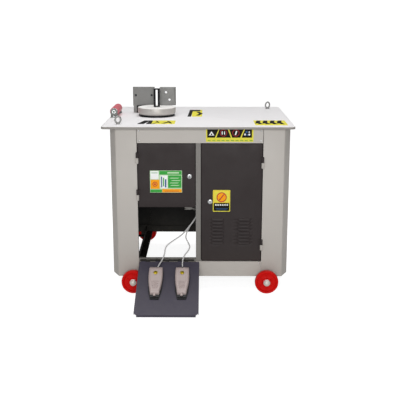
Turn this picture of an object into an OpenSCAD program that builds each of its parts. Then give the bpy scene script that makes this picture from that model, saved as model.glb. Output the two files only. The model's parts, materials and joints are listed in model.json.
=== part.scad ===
// Rebar bender: a wheeled cabinet with a geared bending disc, two doors and a foot switch tray.
// Millimetres. +X right, -Y towards the operator, +Z up. The origin is on the floor, mid footprint.

/* [Table] */
// Width of the table top
table_w = 1000; // [960:10:1100]
// Depth of the table top
table_d = 920; // [900:10:1000]
// Height of the table's working face above the floor
table_h = 890; // [880:5:920]
// Thickness of the table plate
table_t = 12; // [8:1:16]
// Radius of the table's corners
table_corner = 20; // [5:1:40]

/* [Cabinet] */
// Width of the cabinet across its side panels
cabinet_w = 948; // [940:2:980]
// Sideways offset of the cabinet under the table
cabinet_x = 10; // [0:1:14]
// Set-back of the cabinet's front and back from the table's edges
set_back = 30; // [20:1:40]
// Thickness of the folded sheet
sheet = 3; // [2:0.5:3]
// Height of the panels' lower edge above the floor
skirt_z = 76; // [76:1:90]

/* [Doors] */
// Width between the two side panels' front returns
opening_w = 656; // [650:2:660]
// Width of the post between the doors
post_w = 26; // [24:1:30]
// Height of the doors' upper edge
door_top = 800; // [790:1:810]
// Height of the left door's lower edge
left_door_low = 460; // [450:5:480]
// Height of the sill under the right door and the pedal opening
sill_z = 160; // [158:1:170]
// Gap around each door
door_gap = 2.5; // [2:0.5:4]
// Depth of the doors' folded edges
door_fold = 14; // [10:1:14]

/* [Bending head] */
// Diameter of the bending disc
disc_d = 216; // [200:2:220]
// Height of the bending disc
disc_t = 41; // [36:1:44]
// Diameter of the slotted centre mandrel
mandrel_d = 36; // [32:1:40]
// Height of the mandrel above the disc
mandrel_h = 104; // [80:2:120]
// Width of the mandrel's slot
mandrel_slot = 13; // [10:1:18]
// Thickness of the stop plate and the bend plate
plate_t = 12; // [10:1:14]
// Height of both plates' upper edge above the table
plate_top = 156; // [140:2:170]

/* [Wheels] */
// Diameter of the wheels
wheel_d = 126; // [120:1:126]
// Width of the wheels' tread
wheel_w = 32; // [26:1:34]
// Distance of each wheel's centre from the cabinet's middle
wheel_x = 356; // [340:1:370]

/* [Foot switches] */
// Width of the fold-down tray
tray_w = 321; // [310:1:330]
// Length of the tray from its hinge to its front edge
tray_len = 412; // [400:1:418]
// Slope of the tray when it is down
tray_slope = 21.3; // [20:0.1:21.5]
// Length of a treadle
pedal_len = 178; // [170:2:182]
// Width of a foot switch at the toe end
pedal_wide = 74; // [66:1:80]
// Width of a foot switch at the heel end
pedal_narrow = 44; // [38:1:50]
// Diameter of the foot switch leads
lead_d = 7; // [6:0.5:8]

/* [Hidden] */
$fn = 48;
// Overlap that makes joined shapes one solid, and cuts pass right through
eps = 0.5;
// Radial running clearance of every shaft in its bore
run_fit = 0.05;

// Colours
panel_grey = "#b6b1ab";
door_dark = "#3d3838";
post_grey = "#817e7a";
table_white = "#e6e4e5";
steel_grey = "#838381";
wheel_red = "#c4150f";
tray_slate = "#46444e";
pedal_beige = "#b0a4a0";
black_oxide = "#2a2a2c";
bright_steel = "#c8c8c4";
machine_green = "#4f6a5a";

// Places along Y are counted back from the table's front edge by deep()
hinge_out = 12;
axle_out = 46;
tray_flange = 16;
tray_t = 2.5;
tray_drop = 5;
tray_front = tray_len * cos(tray_slope) - tray_drop * sin(tray_slope) - set_back + hinge_out;
front = (tray_front - table_d - axle_out) / 2;
function deep(y) = front + y;
cab_front = set_back;
cab_back = table_d - set_back;

// Cabinet outline: rectangles with long chamfers at the four corners
chamfer_x = 35;
chamfer_y = 70;
chamfer_len = norm([chamfer_x, chamfer_y]);
half_w = cabinet_w / 2;
under_table = table_h - table_t;
post_x0 = -22;
post_deep = 14;
post_x1 = post_x0 + post_w;
opening_x0 = -opening_w / 2;
opening_x1 = opening_w / 2;

// Bending head
head_x = -240;
head_y = 470;
disc_low = table_h + 9;
disc_top = disc_low + disc_t;
plate_hole_d = 13;

// Support roller at the table's left edge
roller_x = -476;
roller_z = table_h + 31;
roller_from = 396;
roller_len = 200;
roller_d = 48;
roller_axle_d = 12;
bracket_t = 4;

// Screws in the table: x, depth, diameter and how far their heads stand above it
table_screw_places = [
  [-374, 649, 10, 12], [-338, 649, 10, 12],
  [roller_x, roller_from - 16, 8, bracket_t], [roller_x, roller_from + roller_len + 14, 8, bracket_t]
];

// Gears: both stages have the same tooth counts
pinion_teeth = 16;
wheel_teeth = 64;
main_module = 4;
first_module = 3;
idler_x = head_x + main_module * (pinion_teeth + wheel_teeth) / 2;
input_x = idler_x + first_module * (pinion_teeth + wheel_teeth) / 2;
pulley_big = 90;
pulley_small = 30;
motor_x = input_x + 230;
housing_low = 745;
cover_t = 8;
bearing_t = 16;
main_shaft_d = 50;
idler_shaft_d = 30;
input_shaft_d = 25;
motor_shaft_d = 24;
pulley_z = 650;
pulley_t = 40;
groove_w = 11;
groove_gap = 18;

// Wheels and tray
wheel_r = wheel_d / 2;
wheel_mid = cab_front - 50;
rear_wheel_mid = cab_back + 50;
axle_d = 20;
// The axles' spacers and nuts, which clear the panels' lower edges above them
spacer_d = 25;
tray_x = cabinet_x - 328 + 3 + tray_w / 2;
tray_pin_y = cab_front - hinge_out;
tray_pin_z = 170;
left_pedal_x = -218;
right_pedal_x = -81;
// Foot switches, along the tray from its hinge pin: toe end, heel pin with its height above the
// tray, and how far the base reaches beyond the heel
pedal_from = 98;
treadle_pivot = [266, 17];
heel_guard = 27;

// Hinges, locks and louvres
barrel_d = 14;
barrel_len = 28;
hinge_pin_d = 8;
left_axis_x = cabinet_x + opening_x0 + 1;
right_axis_x = cabinet_x + opening_x1 - 1;
left_hinge_z = [725, 528];
right_hinge_z = [700, 255];
left_lock = [-45, 627];
right_lock = [63, 491];

// Routes of the two foot switch leads, from the glands under the electrical box to the pedals
left_route = [
  [-4, 90, 442], [-6, 91, 415], [-16, 93, 382], [-44, 96, 342], [-86, 98, 292], [-128, 92, 262],
  [-158, 78, 244], [-175, 58, 228], [-181, 34, 200], [-188, 8, 184], [-200, -16, 168],
  [-211, -42, 154], [-218, -61.5, 145.4]
];
right_route = [
  [-4, 130, 442], [-6, 129, 415], [-14, 126, 380], [-38, 118, 345], [-60, 104, 305],
  [-67, 92, 275], [-55, 82, 250], [-46, 68, 230], [-56, 50, 210], [-70, 30, 198], [-80, 4, 184],
  [-83, -19, 166.5], [-82, -42, 154], [-81, -61.5, 145.4]
];

// ---------- shared shapes ----------

module rounded_plate(size, r, h) {
  linear_extrude(h)
    polygon([
      for (c = [[1, 1, 0], [-1, 1, 90], [-1, -1, 180], [1, -1, 270]])
        for (a = [0:15:90])
          [c[0] * (size[0] / 2 - r) + r * cos(c[2] + a), c[1] * (size[1] / 2 - r) + r * sin(c[2] + a)]
    ]);
}

module box(p0, p1) {
  translate(p0)
    cube([p1[0] - p0[0], p1[1] - p0[1], p1[2] - p0[2]]);
}

module rod_y(d, y0, y1) {
  translate([0, y0, 0])
    rotate([-90, 0, 0])
      cylinder(d = d, h = y1 - y0);
}

module rod_x(d, x0, x1) {
  translate([x0, 0, 0])
    rotate([0, 90, 0])
      cylinder(d = d, h = x1 - x0);
}

module ring(outer, inner, h) {
  difference() {
    cylinder(d = outer, h = h);
    translate([0, 0, -eps])
      cylinder(d = inner, h = h + 2 * eps);
  }
}

module hex_screw(d, length) {
  cylinder(d = d * 1.8, h = d * 0.65, $fn = 6);
  translate([0, 0, -length])
    cylinder(d = d, h = length + eps);
}

// The cabinet's outline, moved in by d all round
function cabinet_outline(d) =
  let (
    w = half_w - d,
    flat = half_w - chamfer_x - d * (chamfer_len - chamfer_x) / chamfer_y,
    y0 = cab_front + d,
    y1 = cab_back - d,
    cut = chamfer_y + d * (chamfer_len - chamfer_y) / chamfer_x
  )
  [
    [-flat, y0], [flat, y0], [w, cab_front + cut], [w, cab_back - cut],
    [flat, y1], [-flat, y1], [-w, cab_back - cut], [-w, cab_front + cut]
  ];

module cabinet_wall(t, z0, z1) {
  translate([cabinet_x, front, z0])
    linear_extrude(z1 - z0)
      difference() {
        polygon(cabinet_outline(0));
        polygon(cabinet_outline(t));
      }
}

// Involute tooth flank as an angle at radius r
function involute(r, base) = r > base ? let (t = sqrt(r * r / base / base - 1)) t * 180 / PI - atan(t) : 0;

function gear_points(m, teeth) =
  let (
    pitch = m * teeth / 2,
    base = pitch * cos(20),
    tip = pitch + m,
    root = pitch - 1.25 * m,
    half = 90 / teeth - 0.12 / pitch * 180 / PI + involute(pitch, base),
    radii = [root, max(root + 0.1, base), pitch, tip]
  )
  [
    for (i = [0:teeth - 1])
      for (k = [0:7])
        let (
          r = k < 4 ? radii[k] : radii[7 - k],
          side = k < 4 ? -1 : 1,
          a = 360 * i / teeth + side * (half - involute(r, base))
        )
        r * [cos(a), sin(a)]
  ];

module gear(m, teeth, h) {
  linear_extrude(h)
    polygon(gear_points(m, teeth));
}

module vee_pulley(r, bore) {
  difference() {
    cylinder(r = r, h = pulley_t);
    for (side = [-1, 1])
      translate([0, 0, pulley_t / 2 + side * groove_gap / 2 - groove_w / 2])
        ring(2 * r + 2, 2 * (r - 9), groove_w);
    translate([0, 0, -eps])
      cylinder(d = bore, h = pulley_t + 2 * eps);
  }
}

// Outline of a belt round both pulleys, its surface at depth d below their rims
function belt_points(d) =
  let (
    big = pulley_big - d,
    small = pulley_small - d,
    lean = acos((big - small) / (motor_x - input_x))
  )
  concat(
    [for (i = [0:40]) let (a = lean + (360 - 2 * lean) * i / 40) [input_x + big * cos(a), big * sin(a)]],
    [for (i = [0:16]) let (a = -lean + 2 * lean * i / 16) [motor_x + small * cos(a), small * sin(a)]]
  );

// Turns and moves what is drawn along the tray, x across, y from the hinge pin to the front
module on_tray() {
  translate([0, deep(tray_pin_y), tray_pin_z])
    rotate([tray_slope, 0, 0])
      mirror([0, 1, 0])
        children();
}

// ---------- cabinet ----------

module base_frame() {
  bar_x = half_w - sheet;
  inner = cab_front + sheet;
  outer = cab_back - sheet;
  color(post_grey)
    difference() {
      union() {
        for (side = [-1, 1]) {
          // angle iron along each side, and the inner rail beside it
          box([cabinet_x + side * (bar_x - 2) - 2, deep(inner + 80), skirt_z],
            [cabinet_x + side * (bar_x - 2) + 2, deep(outer - 80), skirt_z + 40]);
          box([cabinet_x + side * (bar_x - 20) - 20, deep(inner + 80), skirt_z],
            [cabinet_x + side * (bar_x - 20) + 20, deep(outer - 80), skirt_z + 4]);
          box([cabinet_x + side * 336 - 20, deep(inner), skirt_z],
            [cabinet_x + side * 336 + 20, deep(outer), skirt_z + 4]);
          box([cabinet_x + side * 354 - 2, deep(inner), skirt_z],
            [cabinet_x + side * 354 + 2, deep(outer), skirt_z + 40]);
          for (cross = [inner + 80, outer - 120])
            box([cabinet_x + side * (bar_x + 316) / 2 - (bar_x - 316) / 2, deep(cross), skirt_z],
              [cabinet_x + side * (bar_x + 316) / 2 + (bar_x - 316) / 2, deep(cross + 40), skirt_z + 4]);
        }
        // cross pieces behind the sill and along the back
        box([cabinet_x - 420, deep(inner), skirt_z], [cabinet_x + 420, deep(inner + 4), skirt_z + 40]);
        box([cabinet_x - 420, deep(outer - 4), skirt_z], [cabinet_x + 420, deep(outer), skirt_z + 40]);
        for (side = [-1, 1]) {
          box([cabinet_x + side * wheel_x - 34, deep(inner), 40],
            [cabinet_x + side * wheel_x + 34, deep(inner + 10), skirt_z + 50]);
          box([cabinet_x + side * wheel_x - 34, deep(outer - 10), 40],
            [cabinet_x + side * wheel_x + 34, deep(outer), skirt_z + 50]);
        }
      }
      for (side = [-1, 1])
        translate([cabinet_x + side * wheel_x, 0, wheel_r])
          rod_y(axle_d, deep(0), deep(table_d));
    }
}

module side_panel(side) {
  color(panel_grey)
    intersection() {
      cabinet_wall(sheet, skirt_z, under_table);
      if (side < 0)
        box([-table_w, deep(0), 0], [cabinet_x + opening_x0, deep(table_d), table_h]);
      else
        box([cabinet_x + opening_x1, deep(0), 0], [table_w, deep(table_d), table_h]);
    }
}

module left_side_panel() {
  side_panel(-1);
}

module right_side_panel() {
  side_panel(1);
}

module back_panel() {
  color(panel_grey)
    difference() {
      box([cabinet_x + opening_x0, deep(cab_back - sheet), skirt_z + 20],
        [cabinet_x + opening_x1, deep(cab_back), under_table]);
      // cooling slots behind the motor
      for (row = [0:7])
        for (column = [150, 250])
          box([column - 36, deep(cab_back - 2 * sheet), 300 + 18 * row],
            [column + 36, deep(cab_back + sheet), 305 + 18 * row]);
    }
}

module apron() {
  color(panel_grey) {
    box([cabinet_x + opening_x0, deep(cab_front), door_top + door_gap],
      [cabinet_x + opening_x1, deep(cab_front + sheet), under_table]);
    box([cabinet_x + opening_x0, deep(cab_front), under_table - sheet],
      [cabinet_x + opening_x1, deep(cab_front + 28), under_table]);
  }
}

// Folded channel, its open back lipped, whose rear edges hold the lock cams
module centre_post() {
  x0 = cabinet_x + post_x0;
  x1 = cabinet_x + post_x1;
  color(post_grey)
    difference() {
      box([x0, deep(cab_front), sill_z], [x1, deep(cab_front + post_deep), door_top + door_gap]);
      box([x0 + 2, deep(cab_front + sheet), sill_z - eps],
        [x1 - 2, deep(cab_front + post_deep - 2), door_top + 2 * door_gap]);
      box([x0 + 8, deep(cab_front + sheet), sill_z - eps],
        [x1 - 8, deep(cab_front + post_deep + eps), door_top + 2 * door_gap]);
    }
}

module kick_panel() {
  color(panel_grey) {
    box([cabinet_x + post_x0, deep(cab_front), skirt_z],
      [cabinet_x + opening_x1, deep(cab_front + sheet), sill_z]);
    box([cabinet_x + post_x0, deep(cab_front), sill_z - sheet],
      [cabinet_x + opening_x1, deep(cab_front + 25), sill_z]);
  }
}

// Sill angle of the pedal opening, which carries the tray's hinge pin on three lugs
module lower_rail() {
  x0 = cabinet_x + opening_x0;
  x1 = cabinet_x + post_x0;
  color(post_grey)
    difference() {
      union() {
        box([x0, deep(cab_front), sill_z - 16], [x1, deep(cab_front + sheet), sill_z + 16]);
        box([x0, deep(cab_front), sill_z + 13], [x1, deep(cab_front + 22), sill_z + 16]);
        box([x0, deep(cab_front), skirt_z + 40], [x0 + 30, deep(cab_front + sheet), sill_z]);
        for (x = [x0 + 40, (x0 + x1) / 2 - 10, x1 - 60])
          box([x, deep(tray_pin_y - 6), tray_pin_z - 6], [x + 20, deep(cab_front + eps), tray_pin_z + 6]);
      }
      translate([0, deep(tray_pin_y), tray_pin_z])
        rod_x(8 + 2 * run_fit, x0, x1);
    }
}

module table_top() {
  color(table_white)
    difference() {
      translate([0, deep(table_d / 2), under_table])
        rounded_plate([table_w, table_d], table_corner, table_t);
      translate([head_x, deep(head_y), under_table - eps])
        cylinder(d = 90, h = table_t + 2 * eps);
      for (s = table_screw_places)
        translate([s[0], deep(s[1]), under_table - eps])
          cylinder(d = s[2], h = table_t + 2 * eps);
    }
}

module lifting_eye(x, y) {
  translate([x, deep(y), table_h]) {
    cylinder(d = 22, h = 5);
    translate([0, 0, 23])
      rotate([90, 0, 40])
        rotate_extrude($fn = 32)
          translate([17.5, 0])
            circle(d = 10, $fn = 24);
  }
}

module lifting_eyes() {
  color(bright_steel) {
    lifting_eye(-421, 110);
    lifting_eye(421, 810);
  }
}

// ---------- electrical compartment ----------

module electrical_box() {
  x0 = cabinet_x + opening_x0 + 4;
  x1 = cabinet_x + post_x1 - 2;
  y0 = deep(cab_front + 32);
  color(post_grey)
    difference() {
      box([x0, y0, left_door_low + 3], [x1, y0 + 130, under_table]);
      box([x0 + 2, y0 - eps, left_door_low + 5], [x1 - 2, y0 + 128, under_table - 2]);
      for (y = [90, 130])
        translate([-4, deep(y), left_door_low])
          cylinder(d = 16, h = 8);
    }
}

module contactor(x, z) {
  y = deep(cab_front + 160);
  box([x - 22, y - 62, z - 34], [x + 22, y, z + 34]);
  box([x - 16, y - 76, z - 18], [x + 16, y - 61, z + 18]);
  for (k = [-1:1])
    box([x + 14 * k - 4, y - 66, z + 22], [x + 14 * k + 4, y - 61, z + 31]);
}

module contactors() {
  color(black_oxide) {
    contactor(-250, 700);
    contactor(-195, 700);
    // overload relay and transformer
    box([-150, deep(cab_front + 100), 665], [-95, deep(cab_front + 160), 735]);
    box([-80, deep(cab_front + 80), 650], [-25, deep(cab_front + 160), 750]);
  }
}

module terminal_strip() {
  color("#c9c2a8") {
    box([-270, deep(cab_front + 150), 560], [-70, deep(cab_front + 160), 595]);
    for (k = [0:15])
      box([-268 + 12 * k, deep(cab_front + 120), 555], [-258 + 12 * k, deep(cab_front + 151), 600]);
  }
}

module cable_glands() {
  color(black_oxide)
    for (y = [90, 130])
      translate([-4, deep(y), left_door_low + 3])
        difference() {
          union() {
            cylinder(d = 16, h = 8);
            translate([0, 0, 2])
              cylinder(d = 26, h = 6, $fn = 6);
            translate([0, 0, -21])
              cylinder(d = 20, h = 21);
            translate([0, 0, -11])
              cylinder(d = 26, h = 11, $fn = 6);
          }
          translate([0, 0, -21 - eps])
            cylinder(d = lead_d, h = 40);
        }
}

// ---------- gearbox ----------

module housing_outline(grow, h) {
  x0 = head_x - 147;
  x1 = input_x + 63;
  translate([(x0 + x1) / 2, deep(head_y), 0])
    rounded_plate([x1 - x0 + 2 * grow, 290 + 2 * grow], 24 + grow, h);
}

module at_shafts() {
  for (s = [[head_x, main_shaft_d], [idler_x, idler_shaft_d], [input_x, input_shaft_d]])
    translate([s[0], deep(head_y), 0])
      bearing_place(s[1]) children();
}

module bearing_place(d) {
  $shaft = d;
  children();
}

module gearbox_housing() {
  color(machine_green)
    difference() {
      union() {
        translate([0, 0, housing_low])
          housing_outline(0, under_table - housing_low);
        translate([0, 0, housing_low])
          housing_outline(14, 10);
      }
      difference() {
        translate([0, 0, housing_low - eps])
          housing_outline(-8, under_table - housing_low - 8 + eps);
        at_shafts()
          translate([0, 0, under_table - bearing_t])
            cylinder(d = $shaft * 1.7 + 22, h = bearing_t);
      }
      at_shafts()
        translate([0, 0, under_table - bearing_t - eps])
          cylinder(d = $shaft * 1.6 + 8, h = bearing_t + 2 * eps);
    }
}

module gearbox_cover() {
  color(machine_green)
    difference() {
      union() {
        translate([0, 0, housing_low - cover_t])
          housing_outline(14, cover_t);
        at_shafts()
          translate([0, 0, housing_low - eps])
            cylinder(d = $shaft * 1.7 + 22, h = bearing_t - cover_t + eps);
      }
      at_shafts()
        translate([0, 0, housing_low - cover_t - eps])
          cylinder(d = $shaft * 1.6 + 8, h = bearing_t + 2 * eps);
    }
}

module shaft_bearings() {
  color(bright_steel)
    at_shafts()
      for (z = [housing_low - cover_t, under_table - bearing_t])
        translate([0, 0, z])
          ring($shaft * 1.6 + 8, $shaft + 2 * run_fit, bearing_t);
}

module at_shaft(x, z) {
  translate([x, deep(head_y), z])
    children();
}

module main_shaft() {
  color(bright_steel)
    at_shaft(head_x, 690)
      difference() {
        cylinder(d = main_shaft_d, h = disc_top - 12 - 690);
        translate([0, 0, disc_top - 42 - 690])
          cylinder(d = 24, h = 40);
      }
}

module main_gear() {
  color(steel_grey)
    at_shaft(head_x, 812)
      difference() {
        gear(main_module, wheel_teeth, 38);
        translate([0, 0, -eps])
          cylinder(d = main_shaft_d, h = 38 + 2 * eps);
      }
}

module idler_shaft() {
  color(bright_steel)
    at_shaft(idler_x, housing_low - cover_t)
      cylinder(d = idler_shaft_d, h = under_table - housing_low + cover_t - 2);
}

module idler_gears() {
  color(steel_grey)
    at_shaft(idler_x, 766)
      difference() {
        union() {
          gear(first_module, wheel_teeth, 28);
          translate([0, 0, 27])
            cylinder(d = 48, h = 19);
          translate([0, 0, 45])
            rotate([0, 0, 180 / pinion_teeth])
              gear(main_module, pinion_teeth, 40);
        }
        translate([0, 0, -eps])
          cylinder(d = idler_shaft_d, h = 85 + 2 * eps);
      }
}

module input_shaft() {
  color(bright_steel)
    at_shaft(input_x, 0) {
      translate([0, 0, pulley_z - 6])
        cylinder(d = input_shaft_d, h = under_table - 2 - pulley_z + 6);
      translate([0, 0, 765])
        rotate([0, 0, 180 / pinion_teeth])
          gear(first_module, pinion_teeth, 30);
    }
}

module driven_pulley() {
  color(steel_grey)
    at_shaft(input_x, pulley_z)
      difference() {
        vee_pulley(pulley_big, input_shaft_d);
        for (a = [0:60:300])
          rotate([0, 0, a])
            translate([52, 0, -eps])
              cylinder(d = 30, h = pulley_t + 2 * eps);
      }
}

module drive_pulley() {
  color(steel_grey)
    at_shaft(motor_x, pulley_z)
      vee_pulley(pulley_small, motor_shaft_d);
}

module drive_belts() {
  color(black_oxide)
    for (side = [-1, 1])
      translate([0, deep(head_y), pulley_z + pulley_t / 2 + side * groove_gap / 2 - 5])
        linear_extrude(10)
          difference() {
            polygon(belt_points(0.5));
            polygon(belt_points(8));
          }
}

module trip_cam() {
  color(steel_grey)
    at_shaft(head_x, 700)
      difference() {
        union() {
          cylinder(d = 100, h = 12);
          rotate([0, 0, 35])
            translate([40, -9, 0])
              cube([24, 18, 12]);
        }
        translate([0, 0, -eps])
          cylinder(d = main_shaft_d, h = 20);
      }
}

module limit_switches() {
  color(black_oxide)
    for (a = [55, 195])
      at_shaft(head_x, 0)
        rotate([0, 0, a])
          difference() {
            union() {
              box([74, -14, 690], [100, 14, 724]);
              box([84, -10, 723], [94, 10, housing_low - cover_t]);
              translate([68, -4, 702])
                cube([8, 8, 8]);
            }
            translate([92, 0, 698])
              rotate([90, 0, 0])
                cylinder(d = 5, h = 40, center = true);
          }
}

// ---------- motor ----------

module motor_body() {
  color(machine_green)
    at_shaft(motor_x, 0)
      difference() {
        union() {
          translate([0, 0, 400])
            cylinder(d = 148, h = 208);
          for (a = [0:15:345])
            rotate([0, 0, a])
              translate([70, -1.5, 412])
                cube([12, 3, 172]);
          translate([0, 0, 600])
            cylinder(d = 180, h = 12);
          box([66, -40, 480], [112, 40, 560]);
        }
        translate([0, 0, 410])
          cylinder(d = 124, h = 186);
        translate([0, 0, 390])
          cylinder(d = motor_shaft_d + 2 * run_fit, h = 240);
      }
}

module motor_fan_cowl() {
  color(machine_green)
    at_shaft(motor_x, 348)
      difference() {
        cylinder(d = 160, h = 64);
        translate([0, 0, 3])
          cylinder(d = 154, h = 64);
        for (a = [0:30:330])
          rotate([0, 0, a])
            translate([20, -4, -eps])
              cube([46, 8, 5]);
      }
}

module motor_rotor() {
  color(bright_steel)
    at_shaft(motor_x, 0) {
      translate([0, 0, 360])
        cylinder(d = motor_shaft_d, h = pulley_z + pulley_t + 6 - 360);
      translate([0, 0, 424])
        cylinder(d = 116, h = 158);
    }
}

module cooling_fan() {
  color(black_oxide)
    at_shaft(motor_x, 364)
      difference() {
        union() {
          cylinder(d = 44, h = 24);
          for (a = [0:60:300])
            rotate([0, 0, a])
              translate([18, -1.5, 0])
                cube([50, 3, 24]);
          translate([0, 0, 22])
            cylinder(d = 130, h = 3);
        }
        translate([0, 0, -eps])
          cylinder(d = motor_shaft_d, h = 30);
      }
}

module motor_bracket() {
  color(post_grey)
    at_shaft(motor_x, 0)
      difference() {
        union() {
          box([-100, -120, 612], [100, 120, 620]);
          for (side = [-1, 1])
            box([-60, side * 116 - 4, 612], [60, side * 116 + 4, under_table]);
        }
        translate([0, 0, 600])
          cylinder(d = 60, h = 40);
      }
}

// ---------- bending head ----------

module disc_seat_ring() {
  color(black_oxide)
    at_shaft(head_x, table_h)
      ring(190, 90, 8);
}

module bending_disc() {
  r = disc_d / 2;
  round_r = 16;
  color(bright_steel)
    at_shaft(head_x, disc_low)
      difference() {
        rotate_extrude($fn = 96)
          polygon(concat(
            [[0, 0], [r - round_r, 0]],
            [for (a = [-75:15:0]) [r - round_r + round_r * cos(a), round_r + round_r * sin(a)]],
            [[r, disc_t - 1.5], [r - 1.5, disc_t], [0, disc_t]]
          ));
        translate([0, 0, -eps])
          cylinder(d = main_shaft_d, h = disc_t - 12 + eps);
        cylinder(d = 24, h = disc_t + eps);
        for (x = [26, 52])
          translate([x, 82, disc_t - 20])
            cylinder(d = 8, h = 20 + eps);
      }
}

// Round post split by a slot that the bar can pass, closed by a thin cap at the top
module mandrel() {
  color(black_oxide)
    at_shaft(head_x, disc_top) {
      difference() {
        union() {
          cylinder(d = mandrel_d, h = mandrel_h - 1);
          translate([0, 0, mandrel_h - 6])
            cylinder(d = mandrel_d, h = 6);
        }
        box([-mandrel_slot / 2, -mandrel_d, -eps], [mandrel_slot / 2, mandrel_d, mandrel_h - 6]);
      }
      cylinder(d = mandrel_d, h = 3);
      translate([0, 0, -40])
        cylinder(d = 24, h = 40 + eps);
    }
}

// Upright plate beside the mandrel, its upper and outer edges bevelled
module bend_plate() {
  top = table_h + plate_top;
  color(steel_grey)
    translate([0, deep(head_y + 76), 0])
      difference() {
        translate([-228, 0, disc_top])
          cube([94, plate_t, top - disc_top]);
        translate([-134, 0, disc_top - eps])
          rotate([0, 0, 45])
            translate([-5, -5, 0])
              cube([10, 10, 200]);
        translate([-240, 0, top])
          rotate([45, 0, 0])
            translate([0, -4, -4])
              cube([120, 8, 8]);
        for (p = [[-191, 1015], [-171, 972], [-207, 973]])
          translate([p[0], 0, p[1]])
            rod_y(plate_hole_d, -eps, plate_t + eps);
        for (x = [26, 52])
          translate([head_x + x, plate_t / 2, disc_top - eps])
            cylinder(d = 8, h = 20 + eps);
      }
}

module bend_plate_pins() {
  color(bright_steel)
    for (x = [26, 52])
      translate([head_x + x, deep(head_y + 82), disc_top - 20])
        cylinder(d = 8, h = 40);
}

// Fixed plate on a foot that stands beside the disc, with a slotted base flange behind it
module stop_plate() {
  top = table_h + plate_top - 4;
  y = deep(600);
  color(steel_grey)
    difference() {
      union() {
        box([-388, y, disc_top - 8], [-260, y + plate_t, top]);
        box([-385, y, table_h], [-357, y + plate_t, disc_top - 8 + eps]);
        box([-385, y + plate_t - eps, table_h], [-327, y + 84, table_h + 12]);
        // gusset between the plate and the base
        translate([-362, 0, 0])
          rotate([90, 0, 90])
            linear_extrude(12)
              polygon([[y + 10, table_h + 10], [y + 80, table_h + 10], [y + 10, table_h + 110]]);
      }
      for (x = [-371, -278])
        translate([x, y, 993])
          rod_y(plate_hole_d, -eps, plate_t + eps);
      for (x = [-374, -338])
        translate([x, 0, table_h - eps]) {
          translate([0, y + 40, 0])
            cylinder(d = 11, h = 20);
          translate([0, y + 58, 0])
            cylinder(d = 11, h = 20);
          box([-5.5, y + 40, 0], [5.5, y + 58, 20]);
        }
    }
}

// Hexagon screws of the stop plate and of the roller's brackets
module table_screws() {
  color(bright_steel)
    for (s = table_screw_places)
      translate([s[0], deep(s[1]), table_h + s[3]])
        hex_screw(s[2], table_t + s[3]);
}

// ---------- support roller ----------

// Upright cheek from y, with its foot reaching forward or back to foot_y
module roller_bracket(y, foot_y) {
  difference() {
    union() {
      box([roller_x - 19, deep(y), table_h], [roller_x + 19, deep(y) + 4, roller_z]);
      translate([roller_x, 0, roller_z])
        rod_y(38, deep(y), deep(y) + 4);
      box([roller_x - 19, deep(min(y, foot_y)), table_h],
        [roller_x + 19, deep(max(y + 4, foot_y)), table_h + bracket_t]);
    }
    translate([roller_x, 0, roller_z])
      rod_y(roller_axle_d, deep(y) - eps, deep(y) + 5);
    translate([roller_x, deep((y + foot_y) / 2), table_h - eps])
      cylinder(d = 8, h = 10);
  }
}

module roller_brackets() {
  color(steel_grey) {
    roller_bracket(roller_from - 6, roller_from - 26);
    roller_bracket(roller_from + roller_len + 2, roller_from + roller_len + 26);
  }
}

module roller_axle() {
  color(bright_steel)
    translate([roller_x, 0, roller_z]) {
      rod_y(roller_axle_d, deep(roller_from - 10), deep(roller_from + roller_len + 10));
      rod_y(20, deep(roller_from - 12), deep(roller_from - 6));
      rod_y(20, deep(roller_from + roller_len + 6), deep(roller_from + roller_len + 12));
    }
}

module support_roller() {
  color(wheel_red)
    translate([roller_x, 0, roller_z])
      difference() {
        rod_y(roller_d, deep(roller_from), deep(roller_from + roller_len));
        rod_y(roller_axle_d + 2 * run_fit, deep(roller_from - 1), deep(roller_from + roller_len + 1));
      }
}

// ---------- doors ----------

// Folded sheet tray: a face with returned edges
module door_sheet(x0, x1, z0, z1) {
  difference() {
    box([x0, deep(cab_front), z0], [x1, deep(cab_front + door_fold), z1]);
    box([x0 + 2, deep(cab_front + 2), z0 + 2], [x1 - 2, deep(cab_front + door_fold + 1), z1 - 2]);
  }
}

// Upper half of a lift-off hinge, fixed to the door on the side given by toward
module hinge_barrel(x, z, toward) {
  y = cab_front - barrel_d / 2;
  difference() {
    union() {
      translate([x, deep(y), z + 0.4])
        cylinder(d = barrel_d, h = barrel_len);
      if (toward != 0)
        box([toward > 0 ? x : x - 12, deep(y + 2), z + 3],
          [toward > 0 ? x + 12 : x, deep(cab_front + eps), z + barrel_len - 3]);
    }
    translate([x, deep(y), z - 1])
      cylinder(d = hinge_pin_d + 2 * run_fit, h = barrel_len - 2);
  }
}

module hinge_pin(x, z, toward) {
  y = cab_front - barrel_d / 2;
  translate([x, deep(y), z - barrel_len])
    cylinder(d = barrel_d, h = barrel_len);
  translate([x, deep(y), z - eps])
    cylinder(d = hinge_pin_d, h = barrel_len - 5);
  box([toward > 0 ? x : x - 12, deep(y + 2), z - barrel_len + 3],
    [toward > 0 ? x + 12 : x, deep(cab_front), z - 3]);
}

module door_hinge_pins() {
  color(black_oxide) {
    for (z = left_hinge_z)
      hinge_pin(left_axis_x, z, -1);
    for (z = right_hinge_z)
      hinge_pin(right_axis_x, z, 1);
  }
}

module left_door() {
  color(door_dark)
    difference() {
      union() {
        door_sheet(cabinet_x + opening_x0 + door_gap, cabinet_x + post_x0 - door_gap,
          left_door_low, door_top);
        for (z = left_hinge_z)
          hinge_barrel(left_axis_x, z, 1);
      }
      translate([left_lock[0], 0, left_lock[1]])
        rod_y(22 + 2 * run_fit, deep(cab_front - 5), deep(cab_front + 5));
    }
}

module louvre(x, z) {
  translate([x, deep(cab_front), z])
    rotate([90, 0, 90])
      translate([0, 0, -34])
        linear_extrude(68)
          polygon([[0.5, -1], [-7, -1], [-7, 1], [0.5, 10]]);
}

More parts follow.
